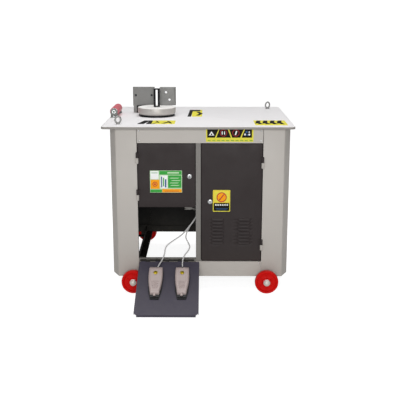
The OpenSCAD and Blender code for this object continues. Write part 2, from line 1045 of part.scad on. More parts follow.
module right_door() {
  color(door_dark)
    difference() {
      union() {
        door_sheet(cabinet_x + post_x1 + door_gap, cabinet_x + opening_x1 - door_gap,
          sill_z + door_gap, door_top);
        for (z = right_hinge_z)
          hinge_barrel(right_axis_x, z, -1);
        for (x = [103, 244], row = [0:7])
          louvre(x, 262 + 18.6 * row);
      }
      for (x = [103, 244], row = [0:7])
        box([x - 31, deep(cab_front - 5), 262 + 18.6 * row - 2],
          [x + 31, deep(cab_front + 3), 262 + 18.6 * row + 3]);
      translate([right_lock[0], 0, right_lock[1]])
        rod_y(22 + 2 * run_fit, deep(cab_front - 5), deep(cab_front + 5));
    }
}

// Quarter-turn lock: head, barrel through the door and a cam that hangs down when unlocked
module door_lock(at, reach) {
  color(bright_steel)
    translate([at[0], 0, at[1]])
      difference() {
        union() {
          rod_y(26, deep(cab_front - 5), deep(cab_front - 0.3));
          rod_y(22, deep(cab_front - 1), deep(cab_front + post_deep + 1));
          box([-9, deep(cab_front + post_deep + 1), -reach],
            [9, deep(cab_front + post_deep + 4), 9]);
        }
        box([-1.5, deep(cab_front - 6), -6], [1.5, deep(cab_front + 2), 6]);
      }
}

module left_door_lock() {
  door_lock(left_lock, 38);
}

module right_door_lock() {
  door_lock(right_lock, 54);
}

// ---------- pedal tray ----------

// Flat sheet with its side and front edges folded down, the corners notched
module pedal_tray() {
  color(tray_slate)
    on_tray()
      difference() {
        union() {
          box([tray_x - tray_w / 2, 8, -tray_drop - tray_t], [tray_x + tray_w / 2, tray_len, -tray_drop]);
          for (side = [-1, 1])
            box([tray_x + side * (tray_w / 2 - tray_t / 2) - tray_t / 2, 8, -tray_drop - tray_flange],
              [tray_x + side * (tray_w / 2 - tray_t / 2) + tray_t / 2, tray_len - tray_flange, -tray_drop]);
          box([tray_x - tray_w / 2 + 14, tray_len - tray_t, -tray_drop - tray_flange],
            [tray_x + tray_w / 2 - 14, tray_len, -tray_drop]);
          // hinge knuckles between the rail's lugs
          for (x = [-305, -228, -110])
            tray_knuckle(x);
          // the pin itself, fixed in the knuckles
          rod_x(8, -311, -20);
        }
        for (side = [-1, 1])
          translate([tray_x + side * tray_w / 2, tray_len, -25])
            rotate([0, 0, 45])
              translate([-9, -9, 0])
                cube([18, 18, 30]);
      }
}

module tray_knuckle(x) {
  translate([x, 0, 0])
    rod_x(12, 0, 26);
  box([x, -1, -tray_drop - tray_t], [x + 26, 12, -tray_drop + 1]);
}

// Outline of a foot switch from above, narrowed by d on each side
module pedal_plan(d, from, to, h) {
  wide = pedal_wide / 2 - d;
  narrow = pedal_narrow / 2 - d;
  linear_extrude(h)
    polygon([[-wide, from], [wide, from], [narrow, to], [-narrow, to]]);
}

module pedal_side(points) {
  rotate([90, 0, 90])
    translate([0, 0, -60])
      linear_extrude(120)
        polygon(points);
}

module pedal_housing(x) {
  from = pedal_from;
  to = pedal_from + pedal_len;
  color(black_oxide)
    on_tray()
      translate([x, 0, -tray_drop])
        difference() {
          union() {
            linear_extrude(5)
              polygon([
                [-38, from], [38, from], [34, to - 32], [22, to + heel_guard],
                [-22, to + heel_guard], [-34, to - 32]
              ]);
            // guard round the heel
            intersection() {
              pedal_plan(0, from, to + 20, 12);
              box([-60, to + 3, 0], [60, to + 20, 12]);
            }
            intersection() {
              pedal_plan(6, from + 6, to - 6, 40);
              pedal_side([[from, 0], [to, 0], [to, 24], [from + 100, 15], [from, 15]]);
            }
            // lead gland at the toe end
            translate([0, 0, 11])
              rod_y(20, from - 14, from + 8);
          }
          translate([0, treadle_pivot[0], treadle_pivot[1]])
            rod_x(6, -60, 60);
          translate([0, 0, 11])
            rod_y(lead_d, from - 20, from + 4);
          // hollow for the switch block
          intersection() {
            pedal_plan(10, from + 20, to - 50, 40);
            translate([0, 0, 5])
              pedal_side([[from, 0], [to, 0], [to, 30], [from, 30]]);
          }
        }
}

module left_pedal_housing() {
  pedal_housing(left_pedal_x);
}

module right_pedal_housing() {
  pedal_housing(right_pedal_x);
}

// Cast foot plate: a tapered hood with grip ribs that rocks on the pin at its heel
module treadle(x) {
  from = pedal_from;
  to = pedal_from + pedal_len;
  color(pedal_beige)
    on_tray()
      translate([x, 0, -tray_drop])
        difference() {
          union() {
            intersection() {
              pedal_plan(0, from, to, 80);
              pedal_side([[from, 26], [to, 9], [to, 28], [to - 8, 32], [from + 12, 50], [from, 44]]);
            }
            for (k = [0:2])
              intersection() {
                pedal_plan(7, from, to, 80);
                pedal_side([
                  [to - 62 + 13 * k, 34], [to - 55 + 13 * k, 33],
                  [to - 55 + 13 * k, 39.5 - k], [to - 62 + 13 * k, 40 - k]
                ]);
              }
            // small nose at the heel
            translate([-6, to - 1, 14])
              cube([12, 9, 10]);
          }
          intersection() {
            pedal_plan(4.5, from + 4, to - 4, 80);
            pedal_side([[from, 0], [to, 0], [to, 26], [from, 42]]);
          }
          // way for the lead gland when the toe end is down
          box([-12, from - 5, 0], [12, from + 10, 38]);
          translate([0, treadle_pivot[0], treadle_pivot[1]])
            rod_x(6 + 2 * run_fit, -60, 60);
        }
}

module left_treadle() {
  treadle(left_pedal_x);
}

module right_treadle() {
  treadle(right_pedal_x);
}

module treadle_pins() {
  color(bright_steel)
    on_tray()
      for (x = [left_pedal_x, right_pedal_x])
        translate([x, treadle_pivot[0], treadle_pivot[1] - tray_drop])
          rod_x(6, -23, 23);
}

// ---------- wheels ----------

module wheel(side, y) {
  rim = wheel_r - 12;
  color(wheel_red)
    translate([cabinet_x + side * wheel_x, deep(y), wheel_r])
      rotate([90, 0, 0])
        rotate_extrude($fn = 64)
          polygon([
            [axle_d / 2 + run_fit, -20], [22, -20], [22, -7], [rim, -7], [rim, -wheel_w / 2],
            [wheel_r - 3, -wheel_w / 2], [wheel_r, 3 - wheel_w / 2], [wheel_r, wheel_w / 2 - 3],
            [wheel_r - 3, wheel_w / 2], [rim, wheel_w / 2], [rim, 7], [22, 7], [22, 20],
            [axle_d / 2 + run_fit, 20]
          ]);
}

module front_left_wheel() {
  wheel(-1, wheel_mid);
}

module front_right_wheel() {
  wheel(1, wheel_mid);
}

module rear_left_wheel() {
  wheel(-1, rear_wheel_mid);
}

module rear_right_wheel() {
  wheel(1, rear_wheel_mid);
}

module wheel_axles() {
  color(bright_steel)
    for (side = [-1, 1])
      translate([cabinet_x + side * wheel_x, 0, wheel_r]) {
        rod_y(axle_d, deep(wheel_mid - 22), deep(cab_front + sheet + 22));
        rod_y(32, deep(wheel_mid - 28), deep(wheel_mid - 21));
        rod_y(spacer_d, deep(wheel_mid + 22), deep(cab_front + sheet));
        rod_y(spacer_d, deep(cab_front + sheet + 10), deep(cab_front + sheet + 20));
        rod_y(axle_d, deep(cab_back - sheet - 22), deep(rear_wheel_mid + 22));
        rod_y(32, deep(rear_wheel_mid + 21), deep(rear_wheel_mid + 26));
        rod_y(spacer_d, deep(cab_back - sheet), deep(rear_wheel_mid - 22));
        rod_y(spacer_d, deep(cab_back - sheet - 20), deep(cab_back - sheet - 10));
      }
}

// ---------- leads ----------

// Catmull-Rom point between the second and third of four points
function curve_point(p, t) =
  0.5 * (2 * p[1] + (p[2] - p[0]) * t + (2 * p[0] - 5 * p[1] + 4 * p[2] - p[3]) * t * t
    + (3 * p[1] - p[0] - 3 * p[2] + p[3]) * t * t * t);

function smooth(route, steps) =
  let (n = len(route))
  concat(
    [
      for (i = [0:n - 2])
        for (k = [0:steps - 1])
          curve_point(
            [route[max(i - 1, 0)], route[i], route[i + 1], route[min(i + 2, n - 1)]], k / steps)
    ],
    [route[n - 1]]
  );

module lead(route) {
  path = smooth(route, 3);
  n = len(path);
  sides = 8;
  function along(i) =
    let (d = path[min(i + 1, n - 1)] - path[max(i - 1, 0)])
    d / norm(d);
  points = [
    for (i = [0:n - 1])
      let (
        t = along(i),
        across = cross([1, 0.3, 0], t),
        u = across / norm(across),
        v = cross(t, u)
      )
      for (k = [0:sides - 1])
        path[i] + lead_d / 2 * (u * cos(360 * k / sides) + v * sin(360 * k / sides))
  ];
  faces = concat(
    [[for (k = [0:sides - 1]) k]],
    [[for (k = [sides - 1:-1:0]) (n - 1) * sides + k]],
    [
      for (i = [0:n - 2])
        for (k = [0:sides - 1])
          for (half = [0, 1])
            let (
              a = i * sides + k,
              b = i * sides + (k + 1) % sides
            )
            half == 0 ? [a, a + sides, b] : [b, a + sides, b + sides]
    ]
  );
  color("#c4c4c0")
    translate([0, front, 0])
      polyhedron(points, faces);
}

module left_pedal_lead() {
  lead(left_route);
}

module right_pedal_lead() {
  lead(right_route);
}

base_frame();
left_side_panel();
right_side_panel();
back_panel();
apron();
centre_post();
kick_panel();
lower_rail();
table_top();
electrical_box();
contactors();
terminal_strip();
gearbox_housing();
gearbox_cover();
shaft_bearings();
motor_body();
motor_fan_cowl();
motor_bracket();
stop_plate();
table_screws();
disc_seat_ring();
roller_brackets();
roller_axle();
lifting_eyes();
door_hinge_pins();
limit_switches();
cable_glands();
drive_belts();
wheel_axles();
main_shaft();
main_gear();
bending_disc();
mandrel();
bend_plate();
bend_plate_pins();
trip_cam();
idler_shaft();
idler_gears();
input_shaft();
driven_pulley();
motor_rotor();
drive_pulley();
cooling_fan();
left_door();
left_door_lock();
right_door();
right_door_lock();
pedal_tray();
left_pedal_housing();
right_pedal_housing();
left_treadle();
right_treadle();
treadle_pins();
front_left_wheel();
front_right_wheel();
rear_left_wheel();
rear_right_wheel();
support_roller();
left_pedal_lead();
right_pedal_lead();
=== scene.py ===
import json
import math

import bmesh
import bpy
import numpy as np
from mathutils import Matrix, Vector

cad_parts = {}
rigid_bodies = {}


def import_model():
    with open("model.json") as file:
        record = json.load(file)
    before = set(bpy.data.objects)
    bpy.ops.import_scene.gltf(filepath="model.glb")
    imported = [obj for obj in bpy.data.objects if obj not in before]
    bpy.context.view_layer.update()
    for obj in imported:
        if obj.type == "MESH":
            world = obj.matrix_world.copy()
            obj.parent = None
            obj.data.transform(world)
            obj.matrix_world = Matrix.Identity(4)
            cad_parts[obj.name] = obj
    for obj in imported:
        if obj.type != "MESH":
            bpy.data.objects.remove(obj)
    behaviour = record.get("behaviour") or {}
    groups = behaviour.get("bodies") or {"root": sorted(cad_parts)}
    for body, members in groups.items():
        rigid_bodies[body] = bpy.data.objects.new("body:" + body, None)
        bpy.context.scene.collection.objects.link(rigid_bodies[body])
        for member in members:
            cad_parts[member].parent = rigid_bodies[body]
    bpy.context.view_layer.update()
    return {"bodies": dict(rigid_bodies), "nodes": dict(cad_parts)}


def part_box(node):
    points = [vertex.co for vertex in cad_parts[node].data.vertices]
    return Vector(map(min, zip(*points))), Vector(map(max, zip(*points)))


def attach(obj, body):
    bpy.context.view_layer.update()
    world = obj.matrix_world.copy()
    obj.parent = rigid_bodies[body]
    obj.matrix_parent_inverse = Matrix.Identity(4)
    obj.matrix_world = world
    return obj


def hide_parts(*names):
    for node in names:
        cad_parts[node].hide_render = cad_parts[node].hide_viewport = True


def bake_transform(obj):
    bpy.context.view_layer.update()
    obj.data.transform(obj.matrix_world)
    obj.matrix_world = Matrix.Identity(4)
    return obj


bl_info = {
    "name": "Rebar bender",
    "version": (1, 0, 0),
    "blender": (4, 5, 0),
    "location": "3D View > Sidebar > Bender",
    "description": "Builds a wheeled rebar bender round its CAD frame, one operator for each group of pieces",
    "category": "Object",
}

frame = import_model()

# Every length below is in millimetres, and is put into metres when a mesh is made.
MM = 0.001
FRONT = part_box("table_top")[0].y / MM
TABLE_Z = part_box("table_top")[1].z / MM
UNDER_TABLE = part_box("table_top")[0].z / MM
HEAD_X = -240.0
HEAD_Y = FRONT + 470.0
CAB_X = 10.0
CAB_FRONT = FRONT + 30.0
CAB_BACK = FRONT + 890.0
SKIRT_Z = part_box("left_side_panel")[0].z / MM
OPEN_X0, OPEN_X1 = -318.0, 338.0
TRAY_SLOPE = math.radians(21.3)
TRAY_PIN = (FRONT + 18.0, 170.0)
PEDALS = {"left": -218.0, "right": -81.0}
TOE, TREADLE = 98.0, 178.0
# Share of its visible light that the studio wall throws on the object
THROWN_SHARE = 0.27
# Top of both doors, how far the hinge pins stand out of the doors, and the wheels' axle height
DOOR_TOP = 800
HINGE_OUT = 7
AXLE_Z = 63.0


def linear(hex_colour):
    """A six-digit sRGB colour as linear red, green, blue and alpha."""
    srgb = np.array([int(hex_colour[i:i + 2], 16) for i in (1, 3, 5)]) / 255
    low = srgb / 12.92
    high = ((srgb + 0.055) / 1.055) ** 2.4
    return (*np.where(srgb <= 0.04045, low, high).tolist(), 1.0)


# ---------- sizes and colours a user may change ----------

def length_property(name, description, default):
    return bpy.props.FloatProperty(
        name=name, description=description, default=default * MM, min=0.0, unit="LENGTH", subtype="DISTANCE"
    )


def colour_property(name, description, hex_colour):
    return bpy.props.FloatVectorProperty(
        name=name, description=description, default=linear(hex_colour), size=4, min=0.0, max=1.0,
        subtype="COLOR"
    )


class BenderSizes(bpy.types.PropertyGroup):
    """Radii and heights of the finished pieces' edges and pressings."""

    bend_radius: length_property("Bend radius", "Outer radius of the folded sheet's bends", 5.0)
    table_edge: length_property("Table edge", "Rounding of the table plate's rim", 2.5)
    sheet_rim: length_property("Sheet rim", "Rounding of the cut sheet edges", 0.6)
    plate_edge: length_property("Plate edge", "Rounding of the thick plates' edges", 1.0)
    louvre_rise: length_property("Louvre rise", "How far a louvre stands out of the door", 6.8)
    wheel_crown: length_property("Wheel crown", "Rise of the wheel's tread over its shoulders", 1.5)
    disc_round: length_property("Disc rounding", "Radius of the bending disc's lower edge", 16.0)


class BenderColours(bpy.types.PropertyGroup):
    """Colours of the painted, moulded and printed pieces."""

    panel: colour_property("Panels", "Powder coat of the side panels, apron and kick panel", "#b6b1ab")
    table: colour_property("Table", "Enamel of the table plate", "#efedee")
    door: colour_property("Doors", "Textured powder coat of both doors", "#2e2727")
    frame: colour_property("Frame", "Powder coat of the post, rail and inner frame", "#797672")
    tray: colour_property("Tray", "Powder coat of the pedal tray", "#3f3c4b")
    pedal: colour_property("Treadles", "Enamel of the cast treadles", "#a89996")
    wheel: colour_property("Wheels", "Cast polyurethane of the wheels", "#ca0b06")
    roller: colour_property("Roller", "Polyurethane sleeve of the support roller", "#cb5f6a")
    machine: colour_property("Machinery", "Enamel of the gearbox and motor", "#4f6a5a")
    lead: colour_property("Leads", "PVC sheath of the foot switch leads", "#c6c4c3")
    yellow: colour_property("Sticker yellow", "Yellow of the printed stickers", "#dfd64c")
    green: colour_property("Sticker green", "Green of the left door's sticker", "#3fa045")
    orange: colour_property("Sticker orange", "Orange of the doors' stickers", "#f3a11d")


# ---------- surfaces ----------

def deep(y):
    """A depth counted back from the table's front edge, as a place along Y."""
    return FRONT + y


def grid(points, wrap_u=False, wrap_v=False):
    """Vertices and quads of a grid of points; a wrapped direction joins its last row to its first."""
    rows, columns = points.shape[:2]
    index = np.arange(rows * columns).reshape(rows, columns)
    if wrap_u:
        index = np.vstack([index, index[:1]])
    if wrap_v:
        index = np.hstack([index, index[:, :1]])
    quads = np.stack([index[:-1, :-1], index[1:, :-1], index[1:, 1:], index[:-1, 1:]], -1)
    return points.reshape(-1, 3), quads.reshape(-1, 4).tolist()


def filleted(points, radius, steps=5, closed=True):
    """The polyline with each corner P replaced by the curve (1-t)^2 A + 2t(1-t) P + t^2 B, where A and B
    lie radius before and after P along its two edges."""
    p = np.asarray(points, float)
    before, after = np.roll(p, 1, 0) - p, np.roll(p, -1, 0) - p
    reach = np.broadcast_to(np.asarray(radius, float), (len(p),))
    ends = []
    for edge in (before, after):
        size = np.linalg.norm(edge, axis=1)
        ends.append(p + edge * (np.minimum(reach, size * 0.49) / size)[:, None])
    t = np.linspace(0, 1, steps)[None, :, None]
    curve = (1 - t) ** 2 * ends[0][:, None] + 2 * t * (1 - t) * p[:, None] + t ** 2 * ends[1][:, None]
    if closed:
        return curve.reshape(-1, 2)
    return np.vstack([p[:1], curve[1:-1].reshape(-1, 2), p[-1:]])


def drawn_in(outline, distance):
    """A counter-clockwise outline moved inward: each point moves by the distance along its mitred normal."""
    along = np.roll(outline, -1, 0) - outline
    along /= np.maximum(np.linalg.norm(along, axis=1), 1e-9)[:, None]
    back = np.roll(along, 1, 0)
    inward = np.stack([-(along + back)[:, 1], (along + back)[:, 0]], 1)
    return outline + inward * (2 * distance / np.maximum((inward ** 2).sum(1), 0.4))[:, None]


def place(across, up, axes):
    """Points of an outline and their heights set on the named axes: the first two are the outline's, and the
    third is the height's."""
    order = ["xyz".index(a) for a in axes]
    points = np.empty(across.shape[:-1] + (3,))
    points[..., order[0]] = across[..., 0]
    points[..., order[1]] = across[..., 1]
    points[..., order[2]] = up
    return points


def slab(outline, low, high, rim, axes="xyz"):
    """The outline raised from low to high, its two rims quarter circles: at angle a the outline is drawn in
    by rim(1 - sin a) and stands rim(1 - cos a) from the face; both faces are closed."""
    outline = np.asarray(outline, float)
    area = np.cross(outline, np.roll(outline, -1, 0)).sum()
    outline = outline if area > 0 else outline[::-1]
    a = np.linspace(0, math.pi / 2, 4)
    insets = np.concatenate([rim * (1 - np.sin(a)), rim * (1 - np.sin(a[::-1]))])
    levels = np.concatenate([low + rim * (1 - np.cos(a)), high - rim * (1 - np.cos(a[::-1]))])
    rings = np.stack([drawn_in(outline, d) for d in insets])
    points = place(rings, levels[:, None], axes)
    vertices, faces = grid(points, wrap_v=True)
    count, last = len(outline), len(vertices) - len(outline)
    faces += [list(range(count))[::-1], list(range(last, last + count))]
    return vertices, faces


def lathe(profile, centre, axis="z", segments=64, loop=False):
    """Each profile point (r, h) swept round the axis: two coordinates are r cos t and r sin t, and the third
    is h."""
    profile = np.asarray(profile, float)
    t = np.arange(segments) * 2 * math.pi / segments
    r = profile[:, 0][:, None]
    across = np.stack([r * np.cos(t), r * np.sin(t)], -1)
    axes = {"z": "xyz", "y": "xzy", "x": "yzx"}[axis]
    points = place(across, profile[:, 1][:, None], axes) + np.asarray(centre, float)
    return grid(points, wrap_u=loop, wrap_v=True)


def tube(path, radius, sides=12, reference=(1.0, 0.0, 0.0), closed=False):
    """A circle of the given radius carried along the path, square to it: path + radius (n cos t + b sin t),
    where n is square to the path and to the reference direction, and b is square to both."""
    path = np.asarray(path, float)
    if closed:
        along = np.roll(path, -1, 0) - np.roll(path, 1, 0)
    else:
        along = np.gradient(path, axis=0)
    along /= np.linalg.norm(along, axis=1)[:, None]
    n = np.cross(along, np.asarray(reference, float))
    n /= np.linalg.norm(n, axis=1)[:, None]
    b = np.cross(along, n)
    t = np.arange(sides) * 2 * math.pi / sides
    radius = np.broadcast_to(np.asarray(radius, float), (len(path),))[:, None, None]
    points = path[:, None] + radius * (n[:, None] * np.cos(t)[:, None] + b[:, None] * np.sin(t)[:, None])
    vertices, faces = grid(points, wrap_u=closed, wrap_v=True)
    if not closed:
        last = len(vertices) - sides
        faces += [list(range(sides))[::-1], list(range(last, last + sides))]
    return vertices, faces


def rectangle(x0, x1, y0, y1, radius=0.0):
    """Corners of a rectangle, counter-clockwise, rounded where a radius is given."""
    corners = np.array([[x0, y0], [x1, y0], [x1, y1], [x0, y1]], float)
    return filleted(corners, radius) if radius else corners


def circle(x, y, radius, sides=40):
    """Points x + radius cos t, y + radius sin t, with t round the full turn."""
    t = np.arange(sides) * 2 * math.pi / sides
    return np.stack([x + radius * np.cos(t), y + radius * np.sin(t)], 1)


def moved(shape, function):
    """The shape with its vertices passed through the function."""
    return function(shape[0]), shape[1]


def on_tray(points):
    """Points given across, along and above the tray, turned down its slope about the hinge pin."""
    x, along, up = np.asarray(points, float).T
    c, s = math.cos(TRAY_SLOPE), math.sin(TRAY_SLOPE)
    return np.stack([x, TRAY_PIN[0] - along * c - up * s, TRAY_PIN[1] - along * s + up * c], 1)


def second_finish(mesh, material, where):
    """Adds the material, and gives it to the faces for which where(centres in mm, normals) is true."""
    mesh.materials.append(material)
    centres, normals = np.empty(len(mesh.polygons) * 3), np.empty(len(mesh.polygons) * 3)
    mesh.polygons.foreach_get("center", centres)
    mesh.polygons.foreach_get("normal", normals)
    chosen = where(centres.reshape(-1, 3) / MM, normals.reshape(-1, 3))
    mesh.polygons.foreach_set("material_index", chosen.astype(np.int32))


def faces_inward(centres, normals):
    """True where a face looks towards the cabinet's upright middle line."""
    middle = np.array([CAB_X, (CAB_FRONT + CAB_BACK) / 2])
    return ((middle - centres[:, :2]) * normals[:, :2]).sum(1) > 1.0


def made_object(name, mesh, bm, materials, crease=35.0):
    """The object of a mesh filled from bm, smooth except over edges sharper than the crease in degrees."""
    bm.to_mesh(mesh)
    bm.free()
    for material in materials:
        mesh.materials.append(material)
    mesh.shade_smooth()
    mesh.set_sharp_from_angle(angle=math.radians(crease))
    obj = bpy.data.objects.new(name, mesh)
    bpy.context.scene.collection.objects.link(obj)
    return obj


def piece(name, body, shapes, materials, replaces=(), thickness=0.0, facing=None, crease=35.0):
    """One finished object from its shapes: (vertices, faces) or (vertices, faces, material number), in
    millimetres. Doubles are merged, faces turned outward, and the object rides on its body."""
    starts = np.cumsum([0] + [len(shape[0]) for shape in shapes])
    vertices = np.concatenate([np.asarray(shape[0], float) for shape in shapes]) * MM
    faces = [[i + start for i in face] for shape, start in zip(shapes, starts.tolist()) for face in shape[1]]
    counts = [len(shape[1]) for shape in shapes]
    numbers = np.repeat([shape[2] if len(shape) > 2 else 0 for shape in shapes], counts)
    mesh = bpy.data.meshes.new(name)
    mesh.from_pydata(vertices.tolist(), [], faces)
    mesh.polygons.foreach_set("material_index", numbers.astype(np.int32))
    bm = bmesh.new()
    bm.from_mesh(mesh)
    bmesh.ops.remove_doubles(bm, verts=bm.verts, dist=1e-6)
    bmesh.ops.recalc_face_normals(bm, faces=bm.faces)
    if facing is not None:
        seen = sum((f.normal * f.calc_area() for f in bm.faces), start=bm.faces[:][0].normal * 0)
        if seen.dot(facing) < 0:
            bmesh.ops.reverse_faces(bm, faces=bm.faces)
    obj = made_object(name, mesh, bm, materials, crease)
    if thickness:
        wall = obj.modifiers.new("wall", "SOLIDIFY")
        wall.thickness, wall.offset, wall.use_even_offset = thickness * MM, -1.0, True
    if body:
        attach(obj, body)
    if replaces:
        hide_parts(*replaces)
    return obj


def eased(node_name, material, width, other=None, where=None):
    """The CAD node's own shape with its triangles joined into flat faces and its edges rounded by the width.
    Faces for which where(centres in mm, normals) is true take the other finish."""
    source = frame["nodes"][node_name]
    bm = bmesh.new()
    bm.from_mesh(source.data)
    bmesh.ops.remove_doubles(bm, verts=bm.verts, dist=2e-6)
    bmesh.ops.dissolve_degenerate(bm, edges=bm.edges, dist=1e-6)
    bmesh.ops.dissolve_limit(bm, angle_limit=math.radians(1.0), verts=bm.verts, edges=bm.edges)
    name = node_name + "_finished"
    obj = made_object(name, bpy.data.meshes.new(name), bm, [material])
    if other is not None:
        second_finish(obj.data, other, where)
    edge = obj.modifiers.new("edge", "BEVEL")
    edge.width, edge.segments, edge.limit_method = width * MM, 2, "ANGLE"
    edge.angle_limit, edge.harden_normals = math.radians(40), True
    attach(obj, next(body for body, empty in frame["bodies"].items() if empty == source.parent))
    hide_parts(node_name)
    return obj


def paint(material, *nodes):
    """Gives CAD nodes that keep their own shape a finish."""
    for name in nodes:
        slots = frame["nodes"][name].data.materials
        if len(slots) == 0:
            slots.append(material)
        for i in range(len(slots)):
            slots[i] = material


# ---------- finishes ----------

def node(material, kind, settings=None, **inputs):
    """Adds one shader node: its settings are set, and each input is given a value or linked to an output. An
    input is named by its identifier with spaces as underscores, or by its number as in _0."""
    made = material.node_tree.nodes.new("ShaderNode" + kind)
    for key, value in (settings or {}).items():
        setattr(made, key, value)
    for key, value in inputs.items():
        socket = made.inputs[int(key[1:])] if key[0] == "_" else made.inputs[key.replace("_", " ")]
        if isinstance(value, bpy.types.NodeSocket):
            material.node_tree.links.new(value, socket)
        else:
            socket.default_value = value
    return made


def blank(name):
    """A new node material with only its shader, joined to the output, and its object coordinates."""
    material = bpy.data.materials.new(name)
    material.use_nodes = True
    material.node_tree.nodes.clear()
    shader = node(material, "BsdfPrincipled")
    node(material, "OutputMaterial", Surface=shader.outputs[0])
    return material, shader, node(material, "TexCoord").outputs["Object"]


def link(material, output, socket):
    material.node_tree.links.new(output, socket)


def per_metre(millimetres):
    """Noise scale whose features are this size."""
    return 1.0 / (millimetres * MM)


def shaded(colour, factor):
    return (colour[0] * factor, colour[1] * factor, colour[2] * factor, 1.0)


def mottled(material, coordinates, colour, size_mm, low=0.93, high=1.05, detail=4.0):
    """The colour, lighter and darker in soft patches of that size."""
    patches = node(
        material, "TexNoise", Vector=coordinates, Scale=per_metre(size_mm), Detail=detail, Roughness=0.6
    )
    return node(
        material, "Mix", {"data_type": "RGBA"}, _0=patches.outputs["Fac"],
        _6=shaded(colour, low), _7=shaded(colour, high)
    ).outputs[2]


def pitted(material, shader, coordinates, size_mm, depth_mm, strength=1.0, detail=2.0):
    """Fine unevenness of that size and depth, as bump."""
    grain = node(
        material, "TexNoise", Vector=coordinates, Scale=per_metre(size_mm), Detail=detail, Roughness=0.55
    )
    bump = node(material, "Bump", Height=grain.outputs["Fac"], Strength=strength, Distance=depth_mm * MM)
    link(material, bump.outputs["Normal"], shader.inputs["Normal"])
    return grain


def powder_coat(name, colour, roughness=0.45, peel_mm=3.0, soiling=0.0, low=0.965, high=1.03, specular=0.4):
    """Polyester powder coat, sprayed and baked on sheet steel: an even satin colour with fine orange peel, a
    little uneven in gloss, and dusty near the floor."""
    material, shader, at = blank(name)
    base = mottled(material, at, colour, 160, low, high)
    if soiling:
        height = node(material, "SeparateXYZ", Vector=at).outputs["Z"]
        near_floor = node(
            material, "MapRange", {"interpolation_type": "SMOOTHSTEP"},
            Value=height, _1=0.05, _2=0.32, _3=soiling, _4=0.0
        )
        streaks = node(material, "TexNoise", Vector=at, Scale=per_metre(35), Detail=5.0, Roughness=0.7)
        amount = node(
            material, "Math", {"operation": "MULTIPLY"},
            _0=near_floor.outputs[0], _1=streaks.outputs["Fac"]
        )
        base = node(
            material, "Mix", {"data_type": "RGBA"}, _0=amount.outputs[0], _6=base, _7=linear("#8d8474")
        ).outputs[2]
    link(material, base, shader.inputs["Base Color"])
    gloss = node(material, "TexNoise", Vector=at, Scale=per_metre(60), Detail=3.0)
    rough = node(
        material, "MapRange", Value=gloss.outputs["Fac"], _1=0.3, _2=0.7,
        _3=roughness - 0.05, _4=roughness + 0.08
    )
    link(material, rough.outputs[0], shader.inputs["Roughness"])
    shader.inputs["Specular IOR Level"].default_value = specular
    pitted(material, shader, at, peel_mm, 0.05, 0.7)
    return material


def bare_steel(
    name, colour, roughness=0.32, grain=(1.0, 0.02, 1.0), grain_mm=1.2, depth_mm=0.01, low=0.86, high=1.08,
    metallic=1.0
):
    """Steel with a drawn grain: streaks stretched along one axis, and a slightly clouded sheen. Where an oil
    or lacquer film dulls it, it is less than fully metallic."""
    material, shader, at = blank(name)
    stretched = node(material, "Mapping", Vector=at, Scale=grain).outputs[0]
    streaks = node(
        material, "TexNoise", Vector=stretched, Scale=per_metre(grain_mm), Detail=3.0, Roughness=0.6
    )
    clouds = node(material, "TexNoise", Vector=at, Scale=per_metre(45), Detail=4.0, Roughness=0.6)
    mixed = node(
        material, "Mix", {"data_type": "FLOAT"}, _0=0.55, _2=streaks.outputs["Fac"], _3=clouds.outputs["Fac"]
    )
    base = node(
        material, "Mix", {"data_type": "RGBA"}, _0=mixed.outputs[0],
        _6=shaded(colour, low), _7=shaded(colour, high)
    )
    link(material, base.outputs[2], shader.inputs["Base Color"])
    rough = node(
        material, "MapRange", Value=mixed.outputs[0], _1=0.3, _2=0.7, _3=roughness - 0.07, _4=roughness + 0.1
    )
    link(material, rough.outputs[0], shader.inputs["Roughness"])
    shader.inputs["Metallic"].default_value = metallic
    bump = node(material, "Bump", Height=streaks.outputs["Fac"], Strength=0.6, Distance=depth_mm * MM)
    link(material, bump.outputs["Normal"], shader.inputs["Normal"])
    return material


def moulded(name, colour, roughness=0.4, texture_mm=1.5, depth_mm=0.03, specular=0.4, low=0.94, high=1.05):
    """Moulded plastic or rubber: even colour, a fine mould texture and a soft sheen."""
    material, shader, at = blank(name)
    link(material, mottled(material, at, colour, 30, low, high), shader.inputs["Base Color"])
    shader.inputs["Roughness"].default_value = roughness
    shader.inputs["Specular IOR Level"].default_value = specular
    pitted(material, shader, at, texture_mm, depth_mm, 0.6)
    return material


def cast_enamel(name, colour, roughness=0.42, casting_mm=4.0, depth_mm=0.25):
    """Enamel brushed over a sand or die casting: the casting's grain shows through the paint, darker in its
    hollows."""
    material, shader, at = blank(name)
    grain = pitted(material, shader, at, casting_mm, depth_mm, 0.7, 4.0)
    base = node(
        material, "Mix", {"data_type": "RGBA"}, _0=grain.outputs["Fac"],
        _6=shaded(colour, 0.86), _7=shaded(colour, 1.1)
    )
    link(material, base.outputs[2], shader.inputs["Base Color"])
    shader.inputs["Roughness"].default_value = roughness
    return material


